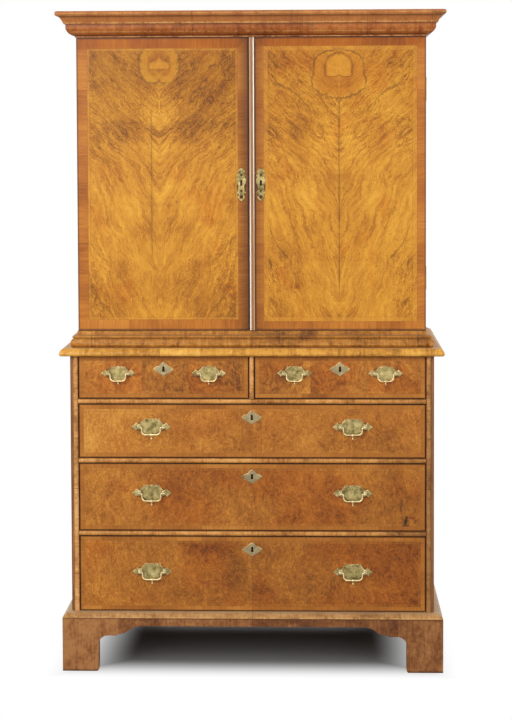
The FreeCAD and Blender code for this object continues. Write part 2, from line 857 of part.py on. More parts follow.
key_wide = "drawer_escutcheon_width / 2"
key_tall = "drawer_escutcheon_height / 2"
drawer_plate_right = [
    ("0", key_tall),
    (f"{key_wide} * 0.34", f"{key_tall} * 0.6"),
    (f"{key_wide} * 0.6", f"{key_tall} * 0.4", f"{key_wide} * 0.45", f"{key_tall} * 0.43"),
    (f"{key_wide} * 0.76", f"{key_tall} * 0.3"),
    (key_wide, "0"),
    (f"{key_wide} * 0.72", f"-{key_tall} * 0.36"),
    (f"{key_wide} * 0.52", f"-{key_tall} * 0.56", f"{key_wide} * 0.6", f"-{key_tall} * 0.42"),
    ("0", f"-{key_tall}", f"{key_wide} * 0.22", f"-{key_tall} * 0.72"),
]
drawer_plate = padded(
    "XZ_Plane", [mirrored(drawer_plate_right), keyhole_outline("0")], "plate_thickness"
)

# Doors
door_heights = ("door_low_z", "door_high_z")
door_depth = ("door_face_y", "door_back_y")
left_edge = "meeting_offset - door_gap / 2"
right_edge = "meeting_offset + door_gap / 2"
left_panel = board(("-cabinet_half", left_edge), door_depth, door_heights)
right_panel = board((right_edge, "cabinet_half"), door_depth, door_heights)
lock_z = ("key_z - door_lock_height / 2", "key_z + door_lock_height / 2")
lock_y = ("door_back_y - door_lock_depth", "door_back_y")
lock_box = ((right_edge, f"{right_edge} + door_lock_width"), lock_y, lock_z)
door_keyhole = keyhole_cut("door_thickness - door_lock_depth")
right_keyhole = copy(door_keyhole, "door_key_offset", lock_y[0], "key_z")
left_keyhole = copy(door_keyhole, "-door_key_offset", lock_y[0], "key_z")
left_rooms = hinge_rooms(door_leaf_y)
node("left_door", cut(left_panel, left_rooms, left_keyhole))
node("right_door", cut(right_panel, mirror(left_rooms), board(*lock_box), right_keyhole))
node("door_lock", board(*lock_box))

fillet_in = "astragal_fillet"
bead_out = "astragal_width - astragal_fillet"
astragal_outline = [
    ("0", "0"),
    ("astragal_width", "0"),
    ("astragal_width", "-astragal_step"),
    (bead_out, "-astragal_step"),
    (fillet_in, "-astragal_step", "astragal_width / 2", "-astragal_projection"),
    ("0", "-astragal_step"),
]
astragal = padded("XY_Plane", [astragal_outline], "door_high_z - door_low_z")
node("astragal", place(astragal, right_edge, "door_face_y", "door_low_z"))


# Two sliding bolts on the back of the left door
def bolt_at(low, knob_z):
    shank = rod("z", "bolt_radius", "bolt_length", "bolt_x", "bolt_y", low)
    knob = rod("y", "bolt_knob_radius", "bolt_knob_length", "bolt_x", "bolt_y", knob_z)
    return fuse(shank, knob)


def bolt_guide(middle):
    half = "bolt_guide_height / 2"
    guide_x = ("bolt_x - bolt_guide_width / 2", "bolt_x + bolt_guide_width / 2")
    guide_y = ("door_back_y", "door_back_y + bolt_guide_depth")
    low = f"{middle} - {half}"
    guide = board(guide_x, guide_y, (low, f"{middle} + {half}"))
    bore = rod("z", "bolt_radius + bolt_gap", "bolt_guide_height", "bolt_x", "bolt_y", low)
    return cut(guide, bore)


upper_low = "door_high_z - door_gap - bolt_length"
lower_low = "door_low_z + door_gap"
upper_middle = "door_high_z - door_gap - bolt_length / 2"
lower_middle = "door_low_z + door_gap + bolt_length / 2"
node("upper_bolt", bolt_at(upper_low, f"{upper_middle} - bolt_throw / 2"))
node("lower_bolt", bolt_at(lower_low, f"{lower_middle} + bolt_throw / 2"))
guides = []
for middle in (upper_middle, lower_middle):
    guides.append(bolt_guide(f"{middle} - bolt_guide_pitch / 2"))
    guides.append(bolt_guide(f"{middle} + bolt_guide_pitch / 2"))
node("bolt_guides", group(*guides))


# Handle plate with two wings, a horned crest and a pointed drop
def handle_plate(ratio):
    wide = f"plate_width / 2 * {ratio}"
    body = f"plate_body / 2 * {ratio}"
    rise = f"plate_rise * {ratio}"
    drop = f"plate_drop * {ratio}"
    shoulder = f"plate_shoulder * {ratio}"
    post = f"post_spacing / 2 * {ratio}"
    right = [
        ("0", f"{rise} * 0.9"),
        (f"{body} * 0.3", f"{rise} * 0.74", f"{body} * 0.18", f"{rise} * 0.88"),
        (f"{body} * 0.66", f"{rise} * 0.74", f"{body} * 0.5", f"{rise} * 0.92"),
        (f"{body} * 0.94", rise),
        (f"{body} * 0.99", f"{rise} * 0.6", f"{body} * 0.88", f"{rise} * 0.78"),
        (f"{post} * 0.93", f"{shoulder} * 0.66"),
        (f"{wide} * 0.74", f"{shoulder} * 1.08", f"{post} * 1.06", f"{shoulder} * 0.62"),
        (wide, "0", f"{wide} * 0.85", f"{shoulder} * 0.46"),
        (f"{wide} * 0.77", f"-{shoulder} * 0.95", f"{wide} * 0.87", f"-{shoulder} * 0.42"),
        (f"{post} * 0.96", f"-{shoulder} * 0.6", f"{post} * 1.08", f"-{shoulder} * 0.56"),
        (f"{body} * 0.98", f"-{drop} * 0.36"),
        (f"{body} * 0.66", f"-{drop} * 0.66", f"{body} * 0.9", f"-{drop} * 0.6"),
        (f"{body} * 0.2", f"-{drop} * 0.7"),
        ("0", f"-{drop}", f"{body} * 0.1", f"-{drop} * 0.84"),
    ]
    holes = [(f"{sign}{post}", "0", "post_shank_radius + post_shank_gap") for sign in ("-", "")]
    return padded("XZ_Plane", [mirrored(right)], "plate_thickness", holes)


# Turned post: shank through the drawer front, foot, neck and pierced head
def handle_post():
    body = doc.addObject("PartDesign::Body", "body")
    shank_end = "plate_thickness + front_thickness + post_nut_thickness"
    head_back = "(0 - post_reach + post_head_radius * 0.8)"
    head_front = "(0 - post_reach - post_head_radius)"
    outline = [
        ("0", shank_end),
        ("post_shank_radius", shank_end),
        ("post_shank_radius", "0"),
        ("post_foot_radius", "0"),
        ("post_neck_radius", "-post_foot_height", "post_foot_radius * 0.85", "-post_foot_height * 0.7"),
        ("post_head_radius * 0.6", head_back),
        ("0", head_front, "post_head_radius", "-post_reach"),
    ]
    turning = body.newObject("PartDesign::Revolution", "turning")
    sketch = draw(body, "XY_Plane", [outline])
    turning.Profile = sketch
    turning.ReferenceAxis = (sketch, ["V_Axis"])
    turning.Angle = 360
    eye = body.newObject("PartDesign::Pocket", "eye")
    hole = body.newObject("Sketcher::SketchObject", "sketch")
    hole.AttachmentSupport = [(plane_of(body, "YZ_Plane"), "")]
    hole.MapMode = "FlatFace"
    add_ring(hole, "-post_reach", "0", "bail_radius + bail_pin_gap")
    eye.Profile = hole
    eye.Type = "ThroughAll"
    eye.Midplane = True
    return body


# Bail: pins in both posts, a bend down, two corners and a knob at the middle
def handle_bail(ratio):
    body = doc.addObject("PartDesign::Body", "body")
    post = f"post_spacing / 2 * {ratio}"
    pin_end = f"{post} + post_head_radius * 0.7"
    leg = f"{post} - bail_leg_inset"
    bend = f"{leg} + bail_bend"
    corner = f"{leg} - bail_corner"
    soft = 0.7071
    right = [
        (pin_end, "0"),
        (bend, "0"),
        (leg, "-bail_bend", f"{bend} - bail_bend * {soft}", f"-bail_bend * {1 - soft:.4f}"),
        (leg, "-bail_drop + bail_corner"),
        (
            corner,
            "-bail_drop",
            f"{corner} + bail_corner * {soft}",
            f"-bail_drop + bail_corner * {1 - soft:.4f}",
        ),
    ]
    left = [tuple(f"-({text})" if k % 2 == 0 else text for k, text in enumerate(step)) for step in right]
    path = left + backwards(right)
    spine = draw(body, "XZ_Plane", [path], closed=False)
    ring = body.newObject("Sketcher::SketchObject", "sketch")
    ring.AttachmentSupport = [(plane_of(body, "YZ_Plane"), "")]
    ring.MapMode = "FlatFace"
    bind(ring, "AttachmentOffset.Base.z", f"-({pin_end})")
    add_ring(ring, "0", "0", "bail_radius")
    wire = body.newObject("PartDesign::AdditivePipe", "wire")
    wire.Profile = ring
    wire.Spine = (spine, [])
    knob = body.newObject("PartDesign::Revolution", "knob")
    half = "bail_knob_length / 2"
    knob_outline = [
        (f"-{half}", "0"),
        (half, "0"),
        (half, "bail_radius * 0.7"),
        (f"-{half}", "bail_radius * 0.7", "0", "bail_knob_radius"),
    ]
    knob_sketch = draw(body, "XZ_Plane", [knob_outline], offset=("0", "-bail_drop", "0"))
    knob.Profile = knob_sketch
    knob.ReferenceAxis = (knob_sketch, ["H_Axis"])
    knob.Angle = 360
    return body


large, small = "1", "small_plate_ratio"
plates = {ratio: handle_plate(ratio) for ratio in (large, small)}
bails = {ratio: handle_bail(ratio) for ratio in (large, small)}
post_master = handle_post()
nut_half = "post_nut / 2"
nut_block = board(
    (f"-{nut_half}", nut_half), ("0", "post_nut_thickness"), (f"-{nut_half}", nut_half)
)
nut_master = cut(
    nut_block, rod("y", "post_shank_radius + post_shank_gap", "post_nut_thickness", "0", "0", "0")
)
post_hole = rod("y", "post_shank_radius + post_shank_gap", "front_thickness", "0", "0", "0")
drawer_keyhole = keyhole_cut("front_thickness - drawer_lock_depth")


# One drawer in an opening, with its dovetailed box, brasses, lock and bails
def drawer(name, x, z, tails, ratio, handle_offset, handle_rise):
    left, right = f"{x[0]} + drawer_gap", f"{x[1]} - drawer_gap"
    low, high = f"{z[0]} + drawer_gap", f"{z[1]} - drawer_gap"
    seat = f"{z[0]} + slide_gap"
    floor = f"{seat} + runner_height"
    floor_top = f"{floor} + drawer_bottom_thickness"
    rim = f"{high} - lining_drop"
    middle_x = f"({left} + {right}) / 2"
    middle_z = f"({z[0]} + {z[1]}) / 2"
    back_front = "box_back_y - lining_thickness"
    pitch = f"({rim} - ({floor_top})) / {tails}"

    walls = []
    front_tails = []
    rear_tails = []
    bottom_x = (f"{left} + lining_thickness / 2", f"{right} - lining_thickness / 2")
    left_wall = (left, f"{left} + lining_thickness")
    right_wall = (f"{right} - lining_thickness", right)
    left_lap = (bottom_x[0], left_wall[1])
    right_lap = (right_wall[0], bottom_x[1])
    for wall_x, lap_x in ((left_wall, left_lap), (right_wall, right_lap)):
        own = []
        for k in range(tails):
            for store, tip_y, root_y in (
                (front_tails, "front_back_y - tail_length", "front_back_y"),
                (rear_tails, "box_back_y", back_front),
            ):
                tail = doc.addObject("Part::Wedge", "tail")
                wide = f"({pitch}) * 0.36"
                narrow = f"({pitch}) * 0.27"
                forward = store is front_tails
                near, far = (wide, narrow) if forward else (narrow, wide)
                start, end = (tip_y, root_y) if forward else (root_y, tip_y)
                for prop in ("Xmin", "X2min", "Ymin"):
                    setattr(tail, prop, 0)
                bind(tail, "Xmax", "lining_thickness")
                bind(tail, "X2max", "lining_thickness")
                bind(tail, "Ymax", f"({end}) - ({start})")
                bind(tail, "Zmin", f"-({near})")
                bind(tail, "Zmax", near)
                bind(tail, "Z2min", f"-({far})")
                bind(tail, "Z2max", far)
                place(tail, wall_x[0], start, f"{floor_top} + ({k} + 0.5) * {pitch}")
                store.append(tail)
                own.append(tail)
        plain = board(wall_x, ("front_back_y", back_front), (floor, rim))
        lap = board(lap_x, ("front_back_y", back_front), (floor, floor_top))
        walls.append(cut(fuse(plain, *own), lap))

    bottom_y = ("front_back_y - drawer_bottom_lap", "box_back_y")
    bottom = board(bottom_x, bottom_y, (floor, floor_top))
    rear = cut(board((left, right), (back_front, "box_back_y"), (floor_top, rim)), *rear_tails)
    runners = []
    for runner_x in ((left, f"{left} + runner_width"), (f"{right} - runner_width", right)):
        runners.append(board(runner_x, ("front_back_y", back_front), (seat, floor)))
    node(f"{name}_box", group(*walls, rear, bottom, *runners))

    key_level = f"{high} - drawer_key_drop"
    lock_x = (f"{middle_x} - drawer_lock_width / 2", f"{middle_x} + drawer_lock_width / 2")
    lock_y = ("front_back_y - drawer_lock_depth", "front_back_y")
    lock_z = (f"{key_level} - drawer_lock_foot", high)
    lock = board(lock_x, lock_y, lock_z)
    handle_z = f"{middle_z} + {handle_rise}"
    handle_places = [f"{middle_x} - {handle_offset}", f"{middle_x} + {handle_offset}"]
    post_places = []
    for handle_x in handle_places:
        post_places.append(f"{handle_x} - post_spacing / 2 * {ratio}")
        post_places.append(f"{handle_x} + post_spacing / 2 * {ratio}")

    slab = board((left, right), ("chest_front_y", "front_back_y"), (low, high))
    cuts = list(front_tails)
    cuts.append(board(bottom_x, (bottom_y[0], "front_back_y"), (floor, floor_top)))
    cuts.append(board(lock_x, lock_y, lock_z))
    cuts.append(copy(drawer_keyhole, middle_x, lock_y[0], key_level))
    cuts += [copy(post_hole, post_x, "chest_front_y", handle_z) for post_x in post_places]
    node(f"{name}_front", cut(slab, *cuts))

    brasses = [copy(drawer_plate, middle_x, "chest_front_y", key_level), lock]
    brasses += [copy(plates[ratio], handle_x, "chest_front_y", handle_z) for handle_x in handle_places]
    brasses += [copy(post_master, post_x, "post_y", handle_z) for post_x in post_places]
    brasses += [copy(nut_master, post_x, "front_back_y", handle_z) for post_x in post_places]
    node(f"{name}_brasses", group(*brasses))
    for hand, handle_x in zip(("left", "right"), handle_places):
        node(f"{name}_{hand}_bail", copy(bails[ratio], handle_x, "bail_y", handle_z))

    stops = []
    for sign in ("-", "+"):
        stop_middle = f"{middle_x} {sign} {handle_offset}"
        stop_x = (f"{stop_middle} - stop_width / 2", f"{stop_middle} + stop_width / 2")
        stop_y = ("front_back_y + slide_gap", "front_back_y + slide_gap + stop_length")
        stops.append(board(stop_x, stop_y, (z[0], f"{z[0]} + stop_height")))
    return stops


top_heights = ("top_z", "ceiling_z")
whole = ("-opening_half", "opening_half")
left_half = ("-opening_half", divider_x[0])
right_half = (divider_x[1], "opening_half")
stops = []
for name, half_x in (("top_left", left_half), ("top_right", right_half)):
    offset, rise = "small_handle_offset", "top_handle_rise"
    stops += drawer(f"{name}_drawer", half_x, top_heights, 3, small, offset, rise)
for name, low, rail, tails in (
    ("upper", "upper_z", "upper_rail_z", 4),
    ("middle", "middle_z", "middle_rail_z", 5),
    ("lower", "floor_z", "lower_rail_z", 5),
):
    rise = f"{name}_handle_rise"
    stops += drawer(f"{name}_drawer", whole, (low, rail), tails, large, "large_handle_offset", rise)
node("drawer_stops", group(*stops))

doc.recompute()

# Every object must be sound before anything is written
failed = [item.Label for item in doc.Objects if "Invalid" in item.State or "Error" in item.State]
for name, item in nodes.items():
    shape = item.Shape
    if shape.isNull() or not shape.isValid() or not shape.Solids:
        failed.append(name)
if failed:
    raise RuntimeError(f"not sound: {failed}")

os.makedirs("parts", exist_ok=True)
for name, item in nodes.items():
    item.Shape.exportStep(f"parts/{name}.step")
print(len(nodes), "nodes written")
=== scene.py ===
import math

import bpy
from mathutils import Matrix, Vector


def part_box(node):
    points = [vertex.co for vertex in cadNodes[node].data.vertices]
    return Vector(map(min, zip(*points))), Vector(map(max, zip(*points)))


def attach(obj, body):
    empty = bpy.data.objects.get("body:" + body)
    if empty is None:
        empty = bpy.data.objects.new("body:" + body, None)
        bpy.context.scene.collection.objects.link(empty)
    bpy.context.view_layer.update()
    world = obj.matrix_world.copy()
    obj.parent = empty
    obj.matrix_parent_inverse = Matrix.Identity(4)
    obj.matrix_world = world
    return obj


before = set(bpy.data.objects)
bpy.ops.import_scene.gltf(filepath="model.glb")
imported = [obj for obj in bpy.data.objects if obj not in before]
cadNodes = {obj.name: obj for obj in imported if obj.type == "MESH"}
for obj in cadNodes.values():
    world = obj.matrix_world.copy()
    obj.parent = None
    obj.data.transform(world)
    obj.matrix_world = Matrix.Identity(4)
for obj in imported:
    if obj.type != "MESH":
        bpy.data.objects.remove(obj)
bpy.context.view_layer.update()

drawerNames = ["top_left_drawer", "top_right_drawer", "upper_drawer", "middle_drawer", "lower_drawer"]
print("frame loaded:", len(cadNodes), "nodes")


# shader maths: a Python operator becomes a Math node
def operator(kind, reflected=False):
    def apply(self, other):
        pair = (other, self) if reflected else (self, other)
        return self.nodes.maths(kind, *pair)
    return apply


class Sock:
    # a socket that takes part in Python expressions
    def __init__(self, nodes, socket):
        self.nodes = nodes
        self.socket = socket

    def __abs__(self):
        return self.nodes.maths("ABSOLUTE", self)

    __add__ = operator("ADD")
    __radd__ = operator("ADD", reflected=True)
    __sub__ = operator("SUBTRACT")
    __rsub__ = operator("SUBTRACT", reflected=True)
    __mul__ = operator("MULTIPLY")
    __rmul__ = operator("MULTIPLY", reflected=True)
    __truediv__ = operator("DIVIDE")
    __rtruediv__ = operator("DIVIDE", reflected=True)
    __lt__ = operator("LESS_THAN")
    __gt__ = operator("GREATER_THAN")


def paint(red, green, blue):
    # a colour as a picture shows it, 0 to 255, made linear
    def linear(value):
        value = value / 255
        return value / 12.92 if value <= 0.04045 else ((value + 0.055) / 1.055) ** 2.4
    return (linear(red), linear(green), linear(blue), 1.0)


class Nodes:
    # a node tree, and the one way that nodes are added to it
    def __init__(self, tree):
        self.tree = tree

    def add(self, kind, settings=None, sockets=None, output=0):
        node = self.tree.nodes.new(kind)
        for key, value in (settings or {}).items():
            if key == "stops":
                self.setStops(node.color_ramp.elements, value)
            elif key == "points":
                self.setPoints(node.mapping, value)
            else:
                setattr(node, key, value)
        for key, value in (sockets or {}).items():
            if isinstance(value, Sock):
                self.tree.links.new(value.socket, node.inputs[key])
            else:
                node.inputs[key].default_value = value
        return Sock(self, node.outputs[output]) if len(node.outputs) else None

    def setStops(self, elements, stops):
        while len(elements) < len(stops):
            elements.new(0.5)
        for element, (position, colour) in zip(elements, stops):
            element.position = position
            element.color = colour

    def setPoints(self, mapping, points):
        line = mapping.curves[0]
        while len(line.points) < len(points):
            line.points.new(0.5, 0.5)
        for mark, place in zip(line.points, sorted(points)):
            mark.location = place
        mapping.update()

    def maths(self, operation, *values):
        return self.add("ShaderNodeMath", {"operation": operation}, dict(enumerate(values)))

    def least(self, a, b):
        return self.maths("MINIMUM", a, b)

    def most(self, a, b):
        return self.maths("MAXIMUM", a, b)

    def point(self, x, y, z):
        return self.add("ShaderNodeCombineXYZ", None, {0: x, 1: y, 2: z})

    def seen(self):
        # 1 for what the camera sees, straight or in polish
        rays = self.add("ShaderNodeLightPath", output="Is Camera Ray")
        for kind in ("Is Glossy Ray", "Is Transmission Ray"):
            rays = self.most(rays, self.add("ShaderNodeLightPath", output=kind))
        return rays


class Finish(Nodes):
    # one material and the nodes that make it
    def __init__(self, name):
        self.material = bpy.data.materials.new(name)
        self.material.use_nodes = True
        super().__init__(self.material.node_tree)
        self.tree.nodes.clear()
        self.x, self.y, self.z = (self.axis("Object", number) for number in range(3))

    def axis(self, kind, number):
        # one axis of the place or of the normal
        vector = self.add("ShaderNodeTexCoord", output=kind)
        return self.add("ShaderNodeSeparateXYZ", None, {0: vector}, output=number)

    def ease(self, value, low, high):
        # 0 below low, 1 above high, smooth between
        return self.add("ShaderNodeMapRange", {"interpolation_type": "SMOOTHSTEP"},
                        {0: value, 1: low, 2: high})

    def near(self, value, width):
        # 1 where value is about 0, fading out at width
        return 1 - self.ease(abs(value), width * 0.35, width)

    def pick(self, mask, off, on):
        # a number: off where mask is 0, on where it is 1
        return off + mask * (on - off)

    def mix(self, mask, off, on, blend="MIX"):
        # two colours, each a socket or a colour for paint
        off, on = (colour if isinstance(colour, Sock) else paint(*colour) for colour in (off, on))
        return self.add("ShaderNodeMix", {"data_type": "RGBA", "blend_type": blend},
                        {0: mask, 6: off, 7: on}, output=2)

    def oval(self, across, up, wide=1.0, tall=1.0):
        # distance from a middle, 1 on the edge of an oval
        across, up = across / wide, up / tall
        return self.maths("SQRT", across * across + up * up)

    def noise(self, x, y, z, detail=3.0, rough=0.55, twist=0.0):
        return self.add("ShaderNodeTexNoise", None,
                        {"Vector": self.point(x, y, z), "Scale": 1.0, "Detail": detail,
                         "Roughness": rough, "Distortion": twist})

    def grit(self, scale, seed=0.0, **more):
        # noise of one scale on every axis
        return self.noise(self.x * scale, self.y * scale + seed, self.z * scale, **more)

    def ramp(self, value, look, **places):
        # colours of a look, each at its place from 0 to 1
        stops = [(place, paint(*look[key])) for key, place in places.items()]
        return self.add("ShaderNodeValToRGB", {"stops": stops}, {0: value})

    def curve(self, value, points):
        # a drawn curve through points, value and result both 0 to 1
        return self.add("ShaderNodeFloatCurve", {"points": points}, {"Value": value})

    def scatter(self, x, y):
        # a fixed random number for each whole step of x and y
        return self.add("ShaderNodeTexWhiteNoise", {"noise_dimensions": "2D"},
                        {"Vector": self.point(x, y, 0.0)})

    def bump(self, height, strength, distance):
        return self.add("ShaderNodeBump", None,
                        {"Height": height, "Strength": strength, "Distance": distance})

    def finish(self, colour, roughness, normal=None, metallic=0.0, **constants):
        sockets = {"Base Color": colour, "Roughness": roughness, "Metallic": metallic}
        if normal:
            sockets["Normal"] = normal
        for key, value in constants.items():
            sockets[key.replace("_", " ")] = value
        shader = self.add("ShaderNodeBsdfPrincipled", None, sockets)
        self.add("ShaderNodeOutputMaterial", None, {0: shader})
        return self.material


def middle(node, axis=0):
    # halfway along a CAD node
    low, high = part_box(node)
    return (low[axis] + high[axis]) / 2


def stand(name, data):
    # a new object in the scene
    thing = bpy.data.objects.new(name, data)
    bpy.context.scene.collection.objects.link(thing)
    return thing


def dress(node, material):
    # a CAD node takes this material
    thing = cadNodes[node]
    for slot in thing.material_slots:
        slot.material = material
    if not thing.material_slots:
        thing.data.materials.append(material)


# straight timber for the boards inside and behind
plainWood = {
    "oak": {"dark": (138, 98, 56), "light": (186, 146, 94), "along": 5, "across": 90, "gloss": 0.55},
    "pine": {"dark": (126, 84, 46), "light": (172, 124, 74), "along": 3, "across": 55, "gloss": 0.62},
}
backBoards = {"count": 4, "toneRange": 0.16, "seamWidth": 0.0022, "seam": (44, 30, 18)}


def plainTimber(name, run, look, boards=None):
    f = Finish(name)
    places = {"x": f.x, "y": f.y, "z": f.z}
    scaled = [places[axis] * (look["along"] if axis == run else look["across"]) for axis in "xyz"]
    grain = f.noise(*scaled, detail=4, rough=0.6, twist=0.4)
    fine = f.noise(*[value * 6.0 for value in scaled], detail=2)
    broad = f.grit(5, detail=2)
    tone = grain * 0.55 + fine * 0.25 + broad * 0.3
    if boards:
        # upright boards side by side: each its own tone, with open seams
        low, wide = boards
        cell = (f.x - low) / wide
        board = f.maths("FLOOR", cell)
        tone = tone + (f.scatter(board, 3.0) - 0.5) * backBoards["toneRange"]
        edge = f.least(cell - board, 1 - cell + board) * wide
        seam = f.near(edge, backBoards["seamWidth"])
    colour = f.ramp(tone, look, dark=0.32, light=0.72)
    height = grain * 0.6 + fine * 0.4
    if boards:
        colour = f.mix(seam * 0.85, colour, backBoards["seam"])
        height = height - seam
    rough = f.pick(fine, look["gloss"] - 0.06, look["gloss"] + 0.12)
    return f.finish(colour, rough, f.bump(height, 0.25, 0.0006))


# one thin wax polish on every show surface
polish = {"Specular_IOR_Level": 0.2, "Coat_Weight": 0.04, "Coat_Roughness": 0.25}


# figured veneer on a door or drawer front, with a banded border
def border(f, box):
    # distance in from the edge, and 1 beside an upright edge
    low, high = box
    sideways = f.least(f.x - low[0], high[0] - f.x)
    upright = f.least(f.z - low[2], high[2] - f.z)
    return f.least(sideways, upright), sideways < upright


def crossBand(f, onSide, look, seed):
    # grain across the border, in leaves of differing tone
    wavy = (f.noise(f.x * 14, seed, f.z * 14, detail=2) - 0.5) * 0.02
    sideGrain = f.noise(f.x * 18, seed, (f.z + wavy) * 260, detail=4, rough=0.6)
    headGrain = f.noise((f.x + wavy) * 260, seed, f.z * 18, detail=4, rough=0.6)
    grain = f.pick(onSide, headGrain, sideGrain)
    along = f.pick(onSide, f.x, f.z)
    leaf = f.maths("FLOOR", along / look["leaf"])
    tone = f.scatter(leaf, onSide * 7.0 + seed)
    cloud = f.noise(f.x * 9, seed + 4, f.z * 9, detail=2)
    return grain * 0.5 + tone * 0.16 + cloud * 0.42 - 0.06


featherGrain = {"pitch": 0.0042, "slope": 1.1}


def featherBand(f, inset, onSide, look):
    # two narrow strips of slanting grain that meet in chevrons
    along = f.pick(onSide, f.x, f.z)
    fold = abs(inset - look["band"] - look["feather"] / 2)
    wave = f.maths("SINE", (along + fold * featherGrain["slope"]) * (2 * math.pi / featherGrain["pitch"]))
    cloud = f.noise(f.x * 40, 3.0, f.z * 40, detail=2)
    return wave * 0.16 + cloud * 0.7 + 0.1


coreWood = {"dark": (96, 62, 34), "light": (150, 104, 60), "gloss": 0.62, "depth": (0.0012, 0.0016)}


def veneered(name, node, look, figure):
    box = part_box(node)
    f = Finish(name)
    seed = look["seed"]
    inset, onSide = border(f, look.get("shown", box))
    tone, colour = figure(f, box, look)
    pores = f.noise(f.x * 900, seed, f.z * 140, detail=1)
    dark = f.ease(pores, 0.64, 0.74) * 0.4
    colour = f.mix(dark, colour, look["pore"])
    feather = featherBand(f, inset, onSide, look)
    featherColour = f.ramp(feather, look, featherDark=0.2, featherLight=0.8)
    band = look["band"]
    inner = band + look["feather"]
    onFeather = 1 - f.ease(inset, inner - 0.0004, inner + 0.0004)
    colour = f.mix(onFeather * look["featherShow"], colour, featherColour)
    bandTone = crossBand(f, onSide, look, seed)
    bandColour = f.ramp(bandTone, look, bandDark=0.25, bandMiddle=0.5, bandLight=0.78)
    if "headBand" in look:
        head = 1 - f.ease(box[1][2] - f.z, band * 0.7, band * 1.6)
        bandColour = f.mix(head, bandColour, look["headBand"], "MULTIPLY")
    colour = f.mix(1 - f.ease(inset, band - 0.0005, band + 0.0005), colour, bandColour)
    seams = f.most(f.near(inset - band, 0.0013), f.near(inset - inner, 0.0012))
    colour = f.mix(seams * look["seam"], colour, look["pore"])
    # painted shade: each front darkens along its edges, standing for the shade in the gaps round it
    rub = 1 - f.ease(inset, 0.0, look["rubWide"])
    colour = f.mix(rub * look["rub"], colour, look["edge"])
    # painted shadow beside the meeting strip: a dark line at the gap and the strip's soft cast shadow
    for start, end, strength in look["shadeLines"]:
        line = 1 - f.ease(f.x, start, end) if end > start else f.ease(f.x, end, start)
        colour = f.mix(line * strength, colour, look["soot"])
    # painted shade round the brasses and in their piercings, where old polish also gathers
    for cx, cz, wide, tall, strength in look["plates"]:
        halo = 1 - f.ease(f.oval(f.x - cx, f.z - cz, wide, tall), 0.86, 1.16)
        colour = f.mix(halo * strength, colour, look["soot"])
    # veneer on the face and its arrises, the core on the edges and the back
    alongX, alongZ = look["core"]
    core = f.noise(f.x * alongX, f.y * 200, f.z * alongZ, detail=4, rough=0.6, twist=0.3)
    coreColour = f.ramp(core, coreWood, dark=0.3, light=0.75)
    face = 1 - f.ease(f.y - box[0][1], *coreWood["depth"])
    colour = f.mix(face, coreColour, colour)
    wax = f.noise(f.x * 11, seed + 9, f.z * 11)
    rough = f.pick(wax, 0.34, 0.5) + dark * 0.3 + rub * 0.1
    rough = f.pick(face, coreWood["gloss"], rough)
    height = tone * 0.25 - dark * 0.6 - seams * 0.8 + wax * 0.25
    normal = f.bump(height, 0.22, 0.0005)
    return f.finish(colour, rough, normal, **polish)


doorSpan = {"height": 0.82, "lean": 0.5, "half": 0.24, "eye": 0.1}  # what 1 means on each drawn curve


